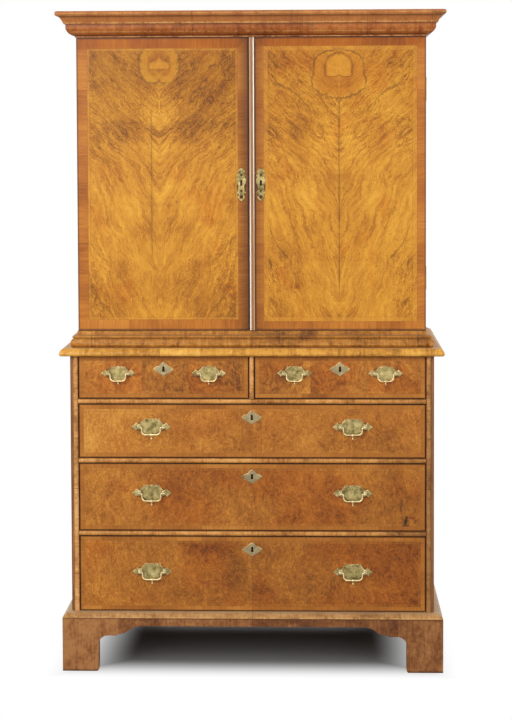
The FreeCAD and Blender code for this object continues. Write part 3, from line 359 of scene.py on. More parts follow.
def doorFigure(f, box, look):
    # book-matched leaves: streaks lean out from the seam the higher they rise
    low, high = box
    seed = look["seed"]
    seam = (low[0] + high[0]) / 2 + look["seamShift"]
    height = f.z - low[2]
    drift = (f.noise(f.x * 6, seed, f.z * 6) - 0.5) * look["drift"]
    matched = abs(f.x - seam) + drift
    cloud = f.noise(matched * 8, seed + 6, height * 7, rough=0.6)
    patch = f.noise(f.x * 9, seed + 13, f.z * 9, rough=0.6)
    tall, wide = doorSpan["height"], doorSpan["lean"]
    lean = f.curve(height / tall, [(up / tall, out / wide) for up, out in look["lean"]]) * wide
    curl = (f.noise(matched * 15, seed + 2, height * 13, detail=4, rough=0.6) - 0.5) * 0.06
    stream = matched - lean + curl
    broad = f.noise(stream * 30, seed + 1, height * 8.0, detail=4, rough=0.6, twist=0.6)
    ray = f.noise(stream * 92, seed + 4, height * 7.0, rough=0.6, twist=0.4)
    worm = f.noise(stream * 145, seed + 3, (height + curl) * 42, rough=0.62, twist=1.0)
    fleck = f.noise(matched * 112, seed + 5, height * 100, detail=4, rough=0.7, twist=1.8)
    fibre = f.noise(stream * 560, seed + 8, height * 40, detail=2)
    wave = f.noise(stream * 52, seed + 23, height * 21, rough=0.6, twist=1.3)
    curled = f.ease(f.noise(f.x * 17, seed + 25, f.z * 17, detail=2), 0.44, 0.58)
    curls = f.near(wave - 0.5, 0.04) * curled
    # livelier in the upper half and the lower corners, calm between
    upper = f.ease(height + (cloud - 0.5) * 0.35, 0.4, 0.56)
    lowCorner = f.ease(matched, 0.12, 0.2) * (1 - f.ease(height, 0.12, 0.32))
    stirred = f.most(upper, lowCorner)
    lively = f.pick(stirred, look["calm"], 1.0)
    tone = look["base"] + (broad - 0.5) * 0.34 + (ray - 0.5) * f.pick(stirred, 0.46, 0.26)
    tone = tone + ((worm - 0.5) * 0.66 + (fleck - 0.5) * 0.8 - curls * 0.2) * lively
    tone = tone + (fibre - 0.5) * 0.28 + (cloud - 0.5) * 0.34 + (patch - 0.5) * 0.34
    # nested flames that stand on the seam at mid height
    flame = height - look["flameFoot"] - matched * matched * 44.0 + curl * 0.4
    shown = f.ease(flame, 0.0, 0.02) * (1 - f.ease(flame, 0.06, 0.11))
    shown = shown * (1 - f.ease(height, 0.53, 0.63))
    tone = tone + f.maths("SINE", flame * 290.0) * shown * look["flame"] + shown * 0.05
    # darker knots of curls and paler patches, on both leaves or on one
    spots = [(matched, spot) for spot in look["patches"]] + [(f.x - seam, spot) for spot in look["zones"]]
    for across, (out, up, wide, tall, lift) in spots:
        away = f.oval(across - out, height - up, wide, tall)
        patched = 1 - f.ease(away + (fleck - 0.5) * 1.2, 0.3, 1.3)
        tone = tone + patched * lift
    # an eye of burr at the head of the seam, drawn as distance against direction
    rise = height - look["eye"]
    turned = f.maths("ARCTAN2", matched, rise) / math.pi
    swell = (f.noise(matched * 55, seed + 11, height * 55) - 0.5) * 0.014
    away = f.oval(matched, rise) + swell
    outer = away - f.curve(turned, look["outer"]) * doorSpan["eye"]
    inner = away - f.curve(turned, look["inner"]) * doorSpan["eye"]
    ring = f.near(outer + look["ringIn"], look["ringWide"])
    heart = 1 - f.ease(inner, -0.006, 0.003)
    within = 1 - f.ease(outer, -0.012, 0.0)
    rim = f.near(outer, 0.0045)
    rimIn = f.near(inner - 0.004, 0.0045)
    tone = f.pick(within * 0.5, tone, look["eyeTone"])
    tone = tone + ring * look["ringLift"] + heart * look["heartLift"]
    colour = f.ramp(tone, look, shade=0.14, low=0.38, middle=0.56, high=0.86)
    # greener and darker in the upper part, a little redder in patches
    corner = f.ease(height + matched * 0.25 - cloud * 0.2, 0.36, 0.66)
    colour = f.mix(corner * look["cornerShade"], colour, look["corner"], "MULTIPLY")
    blush = f.ease(f.noise(f.x * 13, seed + 19, f.z * 11, detail=2), 0.55, 0.72)
    blush = f.most(blush * 0.55, within * look["eyeBlush"])
    colour = f.mix(blush, colour, look["blush"], "MULTIPLY")
    # dark veins, each drawn as height against distance from the seam
    wander = (f.noise(matched * 60, seed + 15, height * 60, rough=0.65) - 0.5) * 0.02
    veins = f.most(rim * look["rim"], rimIn * look["rimIn"])
    tall, wide = doorSpan["height"], doorSpan["half"]
    for points, strength in look["veins"]:
        drawn = f.curve(matched / wide, [(out / wide, up / tall) for out, up in points]) * tall
        span = f.ease(matched, points[0][0] - 0.006, points[0][0] + 0.004)
        span = span * (1 - f.ease(matched, points[-1][0] - 0.004, points[-1][0] + 0.006))
        veins = f.most(veins, f.near(height - drawn + wander, 0.0055) * span * strength)
    broken = f.ease(f.noise(f.x * 45, seed + 17, f.z * 45, detail=2), 0.3, 0.6)
    veins = veins * f.pick(broken, 0.4, 1.0)
    # the joint of the leaves, opened by shrinkage in places
    offset, foot, head, strength = look["joint"]
    opened = f.pick(f.noise(0.0, seed, f.z * 30), 0.35, 1.0) * f.ease(height, foot - 0.03, foot + 0.03)
    opened = opened * (1 - f.ease(height, head - 0.03, head + 0.03))
    line = f.x - seam - offset + wander * 0.15
    veins = f.most(veins, f.near(line, 0.0024) * opened * strength)
    veins = f.most(veins, f.near(line, 0.009) * opened * 0.12)
    colour = f.mix(veins, colour, look["vein"])
    specks = f.ease(f.noise(f.x * 75, seed + 21, f.z * 75, detail=2), 0.72, 0.79)
    colour = f.mix(specks * 0.5, colour, look["vein"])
    return tone - veins * 0.5, colour


doorBase = {
    "drift": 0.012, "calm": 0.42, "featherShow": 0.4, "seam": 0.22, "leaf": 0.085,
    "rub": 0.8, "rubWide": 0.0065, "soot": (46, 26, 16), "core": (95, 5),
    "lean": [(0, 0), (0.1, 0.035), (0.25, 0.08), (0.4, 0.13), (0.465, 0.165), (0.52, 0.22),
             (0.6, 0.3), (0.7, 0.39), (0.82, 0.49)],
    "base": 0.51, "flameFoot": 0.46, "flame": 0.06,
    "shade": (118, 70, 18), "low": (180, 114, 34), "middle": (213, 147, 46), "high": (242, 186, 70),
    "blush": (244, 214, 196), "vein": (104, 62, 20), "pore": (116, 66, 24),
    "bandDark": (140, 74, 22), "bandMiddle": (186, 112, 40), "bandLight": (214, 144, 58),
    "headBand": (230, 208, 128),
    "featherDark": (196, 126, 42), "featherLight": (228, 164, 64), "edge": (70, 45, 34),
}
doorLooks = {
    "left_door": {
        **doorBase, "seed": 2.3, "base": 0.475, "flame": 0.04, "seamShift": -0.009, "eye": 0.733,
        "joint": (-0.022, 0.2, 0.6, 0.7),
        "cornerShade": 0.8, "corner": (214, 202, 152), "band": 0.0295, "feather": 0.0065,
        "outer": [(0.0, 0.7), (0.28, 0.63), (0.5, 0.57), (0.7, 0.6), (0.82, 0.57), (1.0, 0.42)],
        "inner": [(0.0, 0.28), (0.12, 0.2), (0.3, 0.22), (0.45, 0.27), (0.56, 0.27), (0.66, 0.17),
                  (1.0, 0.06)],
        "ringIn": 0.013, "ringWide": 0.016, "ringLift": 0.13, "heartLift": 0.24,
        "rim": 0.5, "rimIn": 0.3, "eyeTone": 0.6, "eyeBlush": 0.1,
        "patches": [(0.11, 0.545, 0.09, 0.035, -0.09), (0.03, 0.5, 0.045, 0.06, 0.08),
                    (0.13, 0.36, 0.09, 0.12, 0.05), (0.2, 0.7, 0.07, 0.09, -0.05),
                    (0.08, 0.16, 0.1, 0.09, 0.04)],
        "zones": [(0.13, 0.715, 0.11, 0.1, -0.1), (-0.16, 0.6, 0.08, 0.08, 0.06),
                  (-0.03, 0.28, 0.12, 0.12, 0.07), (-0.16, 0.11, 0.09, 0.1, -0.1),
                  (0.14, 0.1, 0.1, 0.12, -0.13)],
        "veins": [([(0.06, 0.56), (0.1, 0.58), (0.15, 0.572), (0.2, 0.59)], 0.3),
                  ([(0.145, 0.19), (0.17, 0.21), (0.19, 0.24), (0.21, 0.26)], 0.36),
                  ([(0.14, 0.05), (0.165, 0.08), (0.185, 0.1), (0.205, 0.13)], 0.36)],
    },
    "right_door": {
        **doorBase, "seed": 8.6, "seamShift": 0.0047, "drift": 0.008, "eye": 0.71,
        "joint": (0.0, 0.1, 0.64, 0.9),
        "cornerShade": 0.6, "corner": (222, 206, 152), "band": 0.0245, "feather": 0.0125,
        "outer": [(0.0, 0.66), (0.2, 0.7), (0.3, 0.75), (0.5, 0.7), (0.65, 0.8), (0.75, 0.74),
                  (0.85, 0.7), (1.0, 0.69)],
        "inner": [(0.0, 0.52), (0.17, 0.5), (0.33, 0.38), (0.44, 0.335), (0.55, 0.325), (0.61, 0.25),
                  (0.72, 0.12), (1.0, 0.02)],
        "ringIn": 0.0125, "ringWide": 0.014, "ringLift": 0.06, "heartLift": 0.18,
        "rim": 0.6, "rimIn": 0.5, "eyeTone": 0.52, "eyeBlush": 0.4,
        "patches": [(0.13, 0.57, 0.07, 0.035, -0.06), (0.06, 0.52, 0.05, 0.06, 0.06),
                    (0.12, 0.38, 0.09, 0.14, 0.05), (0.18, 0.73, 0.08, 0.04, -0.04),
                    (0.07, 0.1, 0.12, 0.07, 0.04)],
        "zones": [(0.15, 0.71, 0.1, 0.1, 0.11), (0.15, 0.57, 0.1, 0.1, 0.07),
                  (-0.15, 0.28, 0.1, 0.12, -0.07), (0.0, 0.27, 0.1, 0.12, 0.05),
                  (-0.15, 0.1, 0.1, 0.1, -0.06)],
        "veins": [([(0.076, 0.605), (0.09, 0.623), (0.111, 0.647), (0.139, 0.67), (0.178, 0.682)], 0.5),
                  ([(0.15, 0.49), (0.165, 0.53), (0.178, 0.552), (0.195, 0.56)], 0.36),
                  ([(0.14, 0.2), (0.157, 0.215), (0.18, 0.25), (0.195, 0.29)], 0.5)],
    },
}


def drawerFigure(f, box, look):
    # leaves side by side, each with its own curly grain and tone
    low, high = box
    seed = look["seed"]
    across = f.x - low[0]
    leaf = 0.0
    shift = look["tones"][0]
    joints = 0.0
    for place, before, after in zip(look["joints"], look["tones"], look["tones"][1:]):
        beyond = f.ease(across, place - 0.0003, place + 0.0003)
        leaf = leaf + beyond
        shift = shift + beyond * (after - before)
        joints = f.most(f.near(across - place, 0.0011), joints)
    own = leaf * 3.7
    warp = (f.noise(f.x * 11, seed + own, f.z * 11) - 0.5) * 0.11
    slant = f.x + f.z * look["slant"] + warp
    broad = f.noise(slant * 14, seed + own, f.z * 10 + own, detail=4, rough=0.6, twist=0.9)
    swirl = f.noise(f.x * 13, seed + own + 2, f.z * 15, detail=2, rough=0.5, twist=1.6)
    rings = f.maths("SINE", swirl * look["swirls"]) * 0.5 + 0.5
    bands = f.noise(f.x * 10 + warp * 12, seed + own + 6, f.z * 1.6)
    curl = f.noise(slant * 120, seed + own + 3, f.z * 34, detail=4, rough=0.62, twist=0.8)
    fleck = f.noise(f.x * 105, seed + 5, f.z * 105, detail=4, rough=0.7, twist=1.4)
    fibre = f.noise(slant * 480, seed + 7, f.z * 36, detail=2)
    cloud = f.noise(f.x * 5.5, seed + own + 9, f.z * 8, rough=0.6)
    tone = 0.5 + (broad - 0.5) * 0.4 + (rings - 0.5) * look["rings"] + (curl - 0.5) * 0.42
    tone = tone + ((bands - 0.5) * 0.3 + (cloud - 0.5) * 0.42) * look["clouds"]
    tone = tone + (fleck - 0.5) * 0.7 + (fibre - 0.5) * 0.28 + shift
    # a tone curve across each front: partly painted light from the left, lighter there and darker to the
    # right, and partly the leaves' own tone
    fade = f.curve(across / (high[0] - low[0]), [(share, lift + 0.5) for share, lift in look["fade"]])
    tone = tone + fade - 0.5
    colour = f.ramp(tone, look, shade=0.15, low=0.4, middle=0.58, high=0.85)
    red = f.ease(f.noise(f.x * 4.1, seed + own + 12, f.z * 5.4, detail=2), 0.42, 0.62)
    colour = f.mix(red * look["redden"], colour, look["red"], "MULTIPLY")
    colour = f.mix(joints * 0.35, colour, look["pore"])
    # old ink spots near the lower right corner
    blot = f.noise(f.x * 150, 4.0, f.z * 150, rough=0.7)
    for dx, dz, wide, tall, strength, ink in look["spots"]:
        away = f.oval(f.x - high[0] - dx, f.z - low[2] - dz, wide, tall)
        spot = 1 - f.ease(away + (blot - 0.5) * 1.6, 0.7, 1.1)
        colour = f.mix(spot * strength, colour, ink)
    return tone, colour


drawerBase = {
    "spots": [], "shadeLines": [], "redden": 0.6, "red": (238, 202, 178),
    "slant": 0.15, "rings": 0.07, "swirls": 46.0, "clouds": 1.0,
    "band": 0.0125, "feather": 0.0075, "featherShow": 0.16, "seam": 0.12, "leaf": 0.07,
    "rub": 0.92, "rubWide": 0.0032, "soot": (50, 30, 18), "core": (5, 110),
    "shade": (104, 58, 20), "low": (162, 98, 36), "middle": (192, 124, 48), "high": (226, 164, 74),
    "pore": (92, 52, 20), "edge": (44, 22, 8),
    "bandDark": (140, 80, 28), "bandMiddle": (174, 108, 42), "bandLight": (204, 138, 60),
    "featherDark": (170, 106, 40), "featherLight": (206, 144, 62),
}
drawerLooks = {
    "top_left_drawer": {
        **drawerBase, "seed": 11.2, "joints": [0.178, 0.305], "tones": [-0.04, -0.08, -0.03],
        "fade": [(0.0, 0.03), (0.2, 0.1), (0.45, 0.0), (0.6, -0.06), (1.0, -0.09)],
        "rings": 0.15, "swirls": 27.0,
    },
    "top_right_drawer": {
        **drawerBase, "seed": 14.6, "joints": [0.155, 0.31], "tones": [-0.03, -0.08, -0.05],
        "fade": [(0.0, -0.12), (0.15, -0.11), (0.3, 0.0), (1.0, -0.02)],
        "rings": 0.15, "swirls": 27.0,
    },
    "upper_drawer": {
        **drawerBase, "seed": 19.1, "joints": [0.453, 0.507], "tones": [0.02, -0.05, 0.02],
        "fade": [(0.0, 0.14), (0.14, 0.1), (0.3, 0.0), (0.6, -0.01), (0.75, -0.08), (1.0, -0.07)],
        "redden": 0.25, "slant": 0.05,
    },
    "middle_drawer": {
        **drawerBase, "seed": 23.4, "joints": [0.48], "tones": [-0.06, -0.06],
        "fade": [(0.0, 0.01), (0.15, 0.0), (0.3, -0.01), (0.88, -0.02), (1.0, -0.09)],
        "spots": [(-0.0585, 0.0115, 0.009, 0.0055, 0.9, (30, 20, 16)),
                  (-0.0545, 0.022, 0.0052, 0.0115, 0.9, (30, 20, 16)),
                  (-0.0465, 0.0125, 0.0045, 0.006, 0.7, (40, 26, 20)),
                  (-0.0515, 0.034, 0.0042, 0.009, 0.8, (44, 28, 20)),
                  (-0.0665, 0.068, 0.0035, 0.022, 0.5, (70, 42, 26)),
                  (-0.0365, 0.036, 0.0075, 0.0042, 0.75, (124, 44, 26))],
    },
    "lower_drawer": {
        **drawerBase, "seed": 29.8, "joints": [0.48], "tones": [-0.09, -0.09], "clouds": 0.6,
        "fade": [(0.0, 0.08), (0.15, 0.06), (0.3, -0.03), (0.6, 0.0), (0.85, -0.07), (1.0, -0.06)],
    },
}
# painted shadow lines beside the meeting strip, and halos of painted shade and old polish round the
# brasses
keyHalo = {"wide": 0.0128, "tall": 0.0455, "strength": 0.8}
handleHalo = {"drop": 0.002, "share": 0.68, "tall": 0.0165, "strength": 0.5}
stripLow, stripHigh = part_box("astragal")
doorLooks["left_door"]["shadeLines"] = [(stripLow[0] - 0.0012, stripLow[0] - 0.0048, 0.8),
                                        (stripLow[0], stripLow[0] - 0.042, 0.66)]
doorLooks["right_door"]["shadeLines"] = [(stripHigh[0] + 0.0005, stripHigh[0] + 0.0042, 0.6),
                                         (stripHigh[0], stripHigh[0] + 0.036, 0.42)]
low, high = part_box("right_door")
doorLooks["right_door"]["shown"] = ((stripHigh[0], low[1], low[2]), high)
for name, look in doorLooks.items():
    node = name + "_escutcheon"
    look["plates"] = [(middle(node), middle(node, axis=2), keyHalo["wide"],
                       keyHalo["tall"], keyHalo["strength"])]
for name, look in drawerLooks.items():
    look["plates"] = []
    for hand in ("left", "right"):
        node = name + "_" + hand + "_bail"
        low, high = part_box(node)
        wide = (high[0] - low[0]) * handleHalo["share"]
        look["plates"].append((middle(node), high[2] - handleHalo["drop"], wide,
                               handleHalo["tall"], handleHalo["strength"]))

for node, look in doorLooks.items():
    dress(node, veneered(node + "Veneer", node, look, doorFigure))
for name, look in drawerLooks.items():
    node = name + "_front"
    dress(node, veneered(name + "Veneer", node, look, drawerFigure))
print("veneered doors and drawer fronts")


# mouldings of cross-grain walnut, laid in short lengths
mouldingLooks = {
    "cornice": {"seed": 1.0, "length": 0.16, "stripe": 0.4, "dust": 0.2, "topLift": 0.26,
                "dark": (118, 58, 22), "middle": (168, 94, 40), "light": (200, 130, 64),
                "worn": [(0.0065, 0.0022, 0.3), (0.0125, 0.0016, 0.35), (0.0318, 0.003, 0.6),
                         (0.0555, 0.0018, 0.4), (0.0685, 0.0018, 0.5)],
                "grooves": [(0.0152, 0.0034, 0.34), (0.0364, 0.0036, 0.36), (0.0655, 0.003, 0.5)]},
    "waist_moulding": {"seed": 5.0, "length": 0.09, "stripe": 0.55, "dust": 0.6, "dark": (104, 60, 20),
                       "middle": (176, 114, 44), "light": (214, 154, 70), "worn": [(0.0355, 0.0022, 0.4)],
                       "grooves": [(0.012, 0.0022, 0.3), (0.0212, 0.003, 0.34), (0.044, 0.002, 0.5)]},
    "chest_top_moulding": {"seed": 6.5, "length": 0.12, "stripe": 0.5, "dust": 0.6, "dark": (146, 90, 30),
                           "middle": (214, 151, 60), "light": (242, 190, 92)},
    "base_moulding": {"seed": 8.0, "length": 0.1, "stripe": 0.45, "dust": 0.95, "dark": (118, 74, 34),
                      "middle": (180, 130, 76), "light": (214, 170, 112), "worn": [(0.0128, 0.002, 0.6)]},
    "front_beads": {"seed": 12.0, "length": 0.13, "stripe": 0.45, "dust": 0.3, "dark": (136, 84, 38),
                    "middle": (218, 154, 90), "light": (246, 196, 132)},
    "plinth_front": {"seed": 16.0, "length": 0.2, "stripe": 0.62, "mottle": 0.75, "dust": 0.3,
                     "leftLift": 0.14, "footDirt": 0.75, "dark": (84, 46, 22), "middle": (129, 78, 41),
                     "light": (174, 119, 70), "grooves": [(0.0, 0.0042, 0.6)]},
    "plinth_sides": {"seed": 18.0, "length": 0.2, "stripe": 0.7, "dust": 0.3, "footDirt": 0.75,
                     "dark": (84, 46, 22), "middle": (132, 80, 42), "light": (166, 112, 62)},
}
# colours of age, and of painted light and shade, on the mouldings
ageingAndPaintedLight = {"joint": (84, 48, 24), "grime": (84, 54, 32), "arrisTone": (226, 178, 112), "recessShade": (62, 32, 16),
          "foot": (48, 30, 22), "dust": (164, 142, 112), "topLight": (214, 150, 90),
          "lyingBead": (240, 234, 210), "lowRightShade": (190, 182, 176), "quirkShade": (66, 38, 20)}
beadWidths = {"side": 0.0152, "divider": 0.0072}


def crossGrain(name, node, look, uprights=False):
    low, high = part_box(node)
    f = Finish(name)
    seed = look["seed"]
    if uprights:
        # beads: those on the sides and on the divider stand upright
        onEdge = abs(f.x) > high[0] - beadWidths["side"]
        onMiddle = (abs(f.x) < beadWidths["divider"]) * (f.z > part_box("top_drawer_divider")[0][2])
        turned = f.most(onEdge, onMiddle)
        along = f.pick(turned, f.x, f.z)
    else:
        # the returns start at the mitre
        turned = (abs(f.x) - high[0]) > (low[1] - f.y)
        along = f.pick(turned, f.x, f.y)
    sway = (f.noise(along * 3.1, seed, turned * 4.0, detail=1) - 0.5) * 1.6
    cell = along / look["length"] + sway
    piece = f.maths("FLOOR", cell)
    part = cell - piece
    tone = f.scatter(piece, turned * 5.0 + seed)
    joint = f.near(f.least(part, 1 - part) * look["length"], 0.0009)
    broad = f.grit(22, seed, twist=0.8)
    stripe = f.noise(along * 190, seed, (f.z + f.y) * 16, detail=4, rough=0.62)
    fleck = f.grit(110, seed, rough=0.65)
    value = 0.5 + (stripe - 0.5) * look["stripe"] + (broad - 0.5) * look.get("mottle", 0.5)
    value = value + (fleck - 0.5) * 0.5 + (tone - 0.5) * 0.2
    # painted light: the plinth lighter towards the left, where the light comes from
    if "leftLift" in look:
        value = value + f.ease(f.x, -0.15, -0.5) * look["leftLift"]
    colour = f.ramp(value, look, dark=0.26, middle=0.52, light=0.8)
    # painted light: the cove and crown of the cornice lightened as if lit from the front, though they
    # face down
    if "topLift" in look:
        upper = f.ease(high[2] - f.z, 0.036, 0.031)
        colour = f.mix(upper * look["topLift"], colour, ageingAndPaintedLight["topLight"])
    colour = f.mix(joint * 0.55, colour, ageingAndPaintedLight["joint"])
    grime = f.ease(f.noise(f.x * 16, f.y * 30 + seed, f.z * 30, detail=4, rough=0.7), 0.58, 0.76)
    colour = f.mix(grime * 0.45, colour, ageingAndPaintedLight["grime"])
    # painted highlights along the arrises, in broken lines
    for drop, width, strength in look.get("worn", []):
        arrisTone = f.near(high[2] - drop - f.z, width) * f.ease(fleck + broad, 0.8, 1.15)
        colour = f.mix(arrisTone * strength, colour, ageingAndPaintedLight["arrisTone"])
    # painted shade in the corners and recesses of the profile
    for drop, width, strength in look.get("grooves", []):
        darkening = f.near(high[2] - drop - f.z, width) * f.pick(f.ease(fleck, 0.35, 0.6), 0.55, 1.0)
        colour = f.mix(darkening * strength, colour, ageingAndPaintedLight["recessShade"])
    # darker along the bottom edge of the plinth
    if "footDirt" in look:
        darkening = 1 - f.ease(f.z - low[2] + (fleck - 0.5) * 0.006, 0.001, 0.0075)
        colour = f.mix(darkening * look["footDirt"], colour, ageingAndPaintedLight["foot"])
    # dust lies where the moulding looks up
    dust = f.ease(f.axis("Normal", 2), 0.72, 0.97) * f.pick(broad, 0.35, 0.85)
    colour = f.mix(dust * look["dust"], colour, ageingAndPaintedLight["dust"])
    if uprights:
        colour = f.mix(1 - turned, colour, ageingAndPaintedLight["lyingBead"], "MULTIPLY")
        # painted shade: the beads on the right darker, most towards the bottom, as if lit from the left
        lowRightShade = f.ease(f.x, 0.3, 0.47) * f.pick(f.ease(f.z, 0.82, 0.45), 0.3, 1.0)
        colour = f.mix(lowRightShade, colour, ageingAndPaintedLight["lowRightShade"], "MULTIPLY")
        # painted shade in the quirks beside each bead, where the surface turns away from the front
        quirkShade = 1 - f.ease(abs(f.axis("Normal", 1)), 0.35, 0.8)
        colour = f.mix(quirkShade * 0.75, colour, ageingAndPaintedLight["quirkShade"])
    rough = f.pick(fleck, 0.28, 0.46) + grime * 0.15 + dust * 0.2
    normal = f.bump(stripe * 0.4 + fleck * 0.3 - joint * 0.9, 0.25, 0.0005)
    return f.finish(colour, rough, normal, **polish)


for node, look in mouldingLooks.items():
    dress(node, crossGrain(node + "Walnut", node, look, node == "front_beads"))
print("laid mouldings")


# upright-grained veneer on the case sides
sideLook = {"dark": (92, 50, 24), "middle": (134, 80, 38), "light": (166, 108, 54),
            "insideDark": (120, 82, 46), "insideLight": (170, 126, 78), "skin": 0.004}


def sideVeneer(name, node, seed):
    f = Finish(name)
    bend = (f.noise(f.x, f.y * 4 + seed, f.z * 2.2, detail=2) - 0.5) * 0.09
    across = f.y + bend
    broad = f.noise(seed, across * 20, f.z * 1.3, detail=4, rough=0.6, twist=0.4)
    streak = f.noise(seed + 4, across * 130, f.z * 4.2, detail=4, rough=0.6)
    fibre = f.noise(seed, across * 640, f.z * 18, detail=2)
    tone = broad * 0.5 + streak * 0.34 + fibre * 0.2 - 0.04
    colour = f.ramp(tone, sideLook, dark=0.28, middle=0.52, light=0.8)
    wax = f.grit(9)
    rough = f.pick(wax, 0.32, 0.48)
    inside = abs(f.x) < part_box(node)[1][0] - sideLook["skin"]
    pale = f.ramp(streak, sideLook, insideDark=0.3, insideLight=0.7)
    colour = f.mix(inside, colour, pale)
    return f.finish(colour, rough, f.bump(fibre * 0.5 + streak * 0.5, 0.2, 0.0005), **polish)


dress("cabinet_sides", sideVeneer("cabinetSideWalnut", "cabinet_sides", 3.0))
dress("chest_sides", sideVeneer("chestSideWalnut", "chest_sides", 9.0))

# boards inside the cases, grained along their length
insideBoards = {
    ("oak", "y"): [name + "_box" for name in drawerNames] + ["dust_boards", "shelf_bearers"],
    ("oak", "x"): ["shelves"],
    ("pine", "x"): ["chest_top_and_bottom", "cabinet_bottom_board", "cabinet_top_board", "drawer_stops"],
    ("pine", "z"): ["foot_blocks", "rear_feet"],
}
for (kind, run), members in insideBoards.items():
    timber = plainTimber(kind + "Along" + run.upper(), run, plainWood[kind])
    for node in members:
        dress(node, timber)
for node in ("chest_back_boards", "cabinet_back_boards"):
    low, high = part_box(node)
    boardWidth = (high[0] - low[0]) / backBoards["count"]
    dress(node, plainTimber(node + "Pine", "z", plainWood["pine"], (low[0], boardWidth)))
railLook = {"seed": 21.0, "length": 0.25, "stripe": 0.7, "dust": 0.3,
            "dark": (110, 62, 30), "middle": (150, 92, 42), "light": (184, 124, 60)}
for node in ("cabinet_rails", "drawer_rails", "top_drawer_divider"):
    dress(node, crossGrain(node + "Walnut", node, railLook))
print("boarded the inside")


# meeting strip: two pale fillets with a painted highlight that brightens and dims along their height, and
# a brown bead between
astragalLook = {
    "leftFoot": (255, 242, 224), "leftHead": (206, 160, 126), "rightFoot": (204, 154, 110),
    "rightHead": (255, 246, 222), "arrisTone": (124, 92, 72), "stain": (186, 150, 112),
    "beadDark": (140, 94, 58), "bead": (178, 130, 88), "fillet": 0.0047, "edge": 0.0016,
}


def meetingStrip(look):
    low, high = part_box("astragal")
    f = Finish("meetingStripWood")
    edge = f.least(f.x - low[0], high[0] - f.x)
    onBead = f.ease(edge, look["fillet"] - 0.0004, look["fillet"] + 0.0004)
    grain = f.noise(f.x * 300, f.y * 300, f.z * 24)
    patch = f.noise(f.x * 20, f.y * 20, f.z * 12)
    # painted highlight: the left fillet brighter at the foot, the right one brighter at the head
    rise = f.ease(f.z, low[2] + 0.15, high[2] - 0.15)
    left = f.mix(rise, look["leftFoot"], look["leftHead"])
    right = f.mix(rise, look["rightFoot"], look["rightHead"])
    pale = f.mix(f.x > middle("astragal"), left, right)
    pale = f.mix(1 - f.ease(edge, look["edge"] - 0.0006, look["edge"] + 0.0006), pale, look["arrisTone"])
    pale = f.mix(f.ease(grain * 0.5 + patch * 0.5, 0.56, 0.7) * 0.45, pale, look["stain"])
    bead = f.ramp(grain * 0.6 + patch * 0.4, look, beadDark=0.3, bead=0.7)
    colour = f.mix(onBead, pale, bead)
    return f.finish(colour, f.pick(grain, 0.3, 0.45), f.bump(grain, 0.15, 0.0004), **polish)


dress("astragal", meetingStrip(astragalLook))


# brass with a soft old polish, darker in patches; iron inside the drawers
brassLook = {"dark": (96, 86, 48), "middle": (179, 160, 106), "bright": (238, 220, 164),
             "rim": (252, 242, 204), "rough": (0.3, 0.48), "key": (146, 130, 104), "keyReach": 0.022,
             "ironDark": (46, 40, 36), "ironLight": (96, 84, 72), "ironRough": 0.6}


def oldBrass(name, seed, lift=0.0, ironFrom=None, keys=()):
    f = Finish(name)
    patch = f.grit(60, seed, detail=4, rough=0.6)
    fine = f.grit(420, seed)
    tone = patch * 0.7 + fine * 0.3 + lift
    colour = f.ramp(tone, brassLook, dark=0.3, middle=0.52, bright=0.78)
    # key plates of a greyer metal
    for place in keys:
        colour = f.mix((abs(f.x - place) < brassLook["keyReach"]) * 0.6, colour, brassLook["key"])
    # painted highlight, bright where the edge turns away from the face
    face = abs(f.axis("Normal", 1))
    colour = f.mix((1 - f.ease(face, 0.6, 0.98)) * 0.85, colour, brassLook["rim"])
    rough = f.pick(fine, *brassLook["rough"])
    if ironFrom is not None:
        iron = f.y > ironFrom
        ironColour = f.ramp(patch, brassLook, ironDark=0.3, ironLight=0.7)
        colour = f.mix(iron, colour, ironColour)
        rough = f.pick(iron, rough, brassLook["ironRough"])
    return f.finish(colour, rough, f.bump(fine * 0.6 + patch * 0.4, 0.12, 0.0003), metallic=1.0)


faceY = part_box("upper_drawer_front")[0][1]
ironY = faceY + 0.004  # what lies deeper in a drawer front is iron
topKeys = [middle(name + "_front") for name in drawerNames[:2]]
topPlateBrass = oldBrass("topHandleBrass", 1.0, -0.045, ironY, topKeys)
plateBrass = oldBrass("handleBrass", 2.0, -0.07, ironY, [0.0])
bailBrass = oldBrass("bailBrass", 4.0, 0.14)
hingeBrass = oldBrass("hingeBrass", 6.0, -0.05)
keyBrass = oldBrass("keyPlateBrass", 8.0, -0.08)
for name in drawerNames:
    dress(name + "_brasses", topPlateBrass if name.startswith("top") else plateBrass)
    dress(name + "_left_bail", bailBrass)
    dress(name + "_right_bail", bailBrass)
for node in ("left_door_escutcheon", "right_door_escutcheon"):
    dress(node, keyBrass)
for node in ("case_hinge_leaves", "left_door_hinge_leaves", "right_door_hinge_leaves", "bolt_guides",
             "upper_bolt", "lower_bolt"):
    dress(node, hingeBrass)


ironLook = {"dark": (40, 36, 34), "middle": (84, 76, 68), "light": (110, 84, 60)}


def blackIron(look):
    f = Finish("lockIron")
    patch = f.grit(70, detail=4, rough=0.65)
    fine = f.grit(500, detail=2)
    colour = f.ramp(patch * 0.7 + fine * 0.3, look, dark=0.3, middle=0.62, light=0.8)
    return f.finish(colour, f.pick(fine, 0.42, 0.7), f.bump(fine, 0.25, 0.0004), metallic=0.8)


dress("door_lock", blackIron(ironLook))
print("finished metalwork")

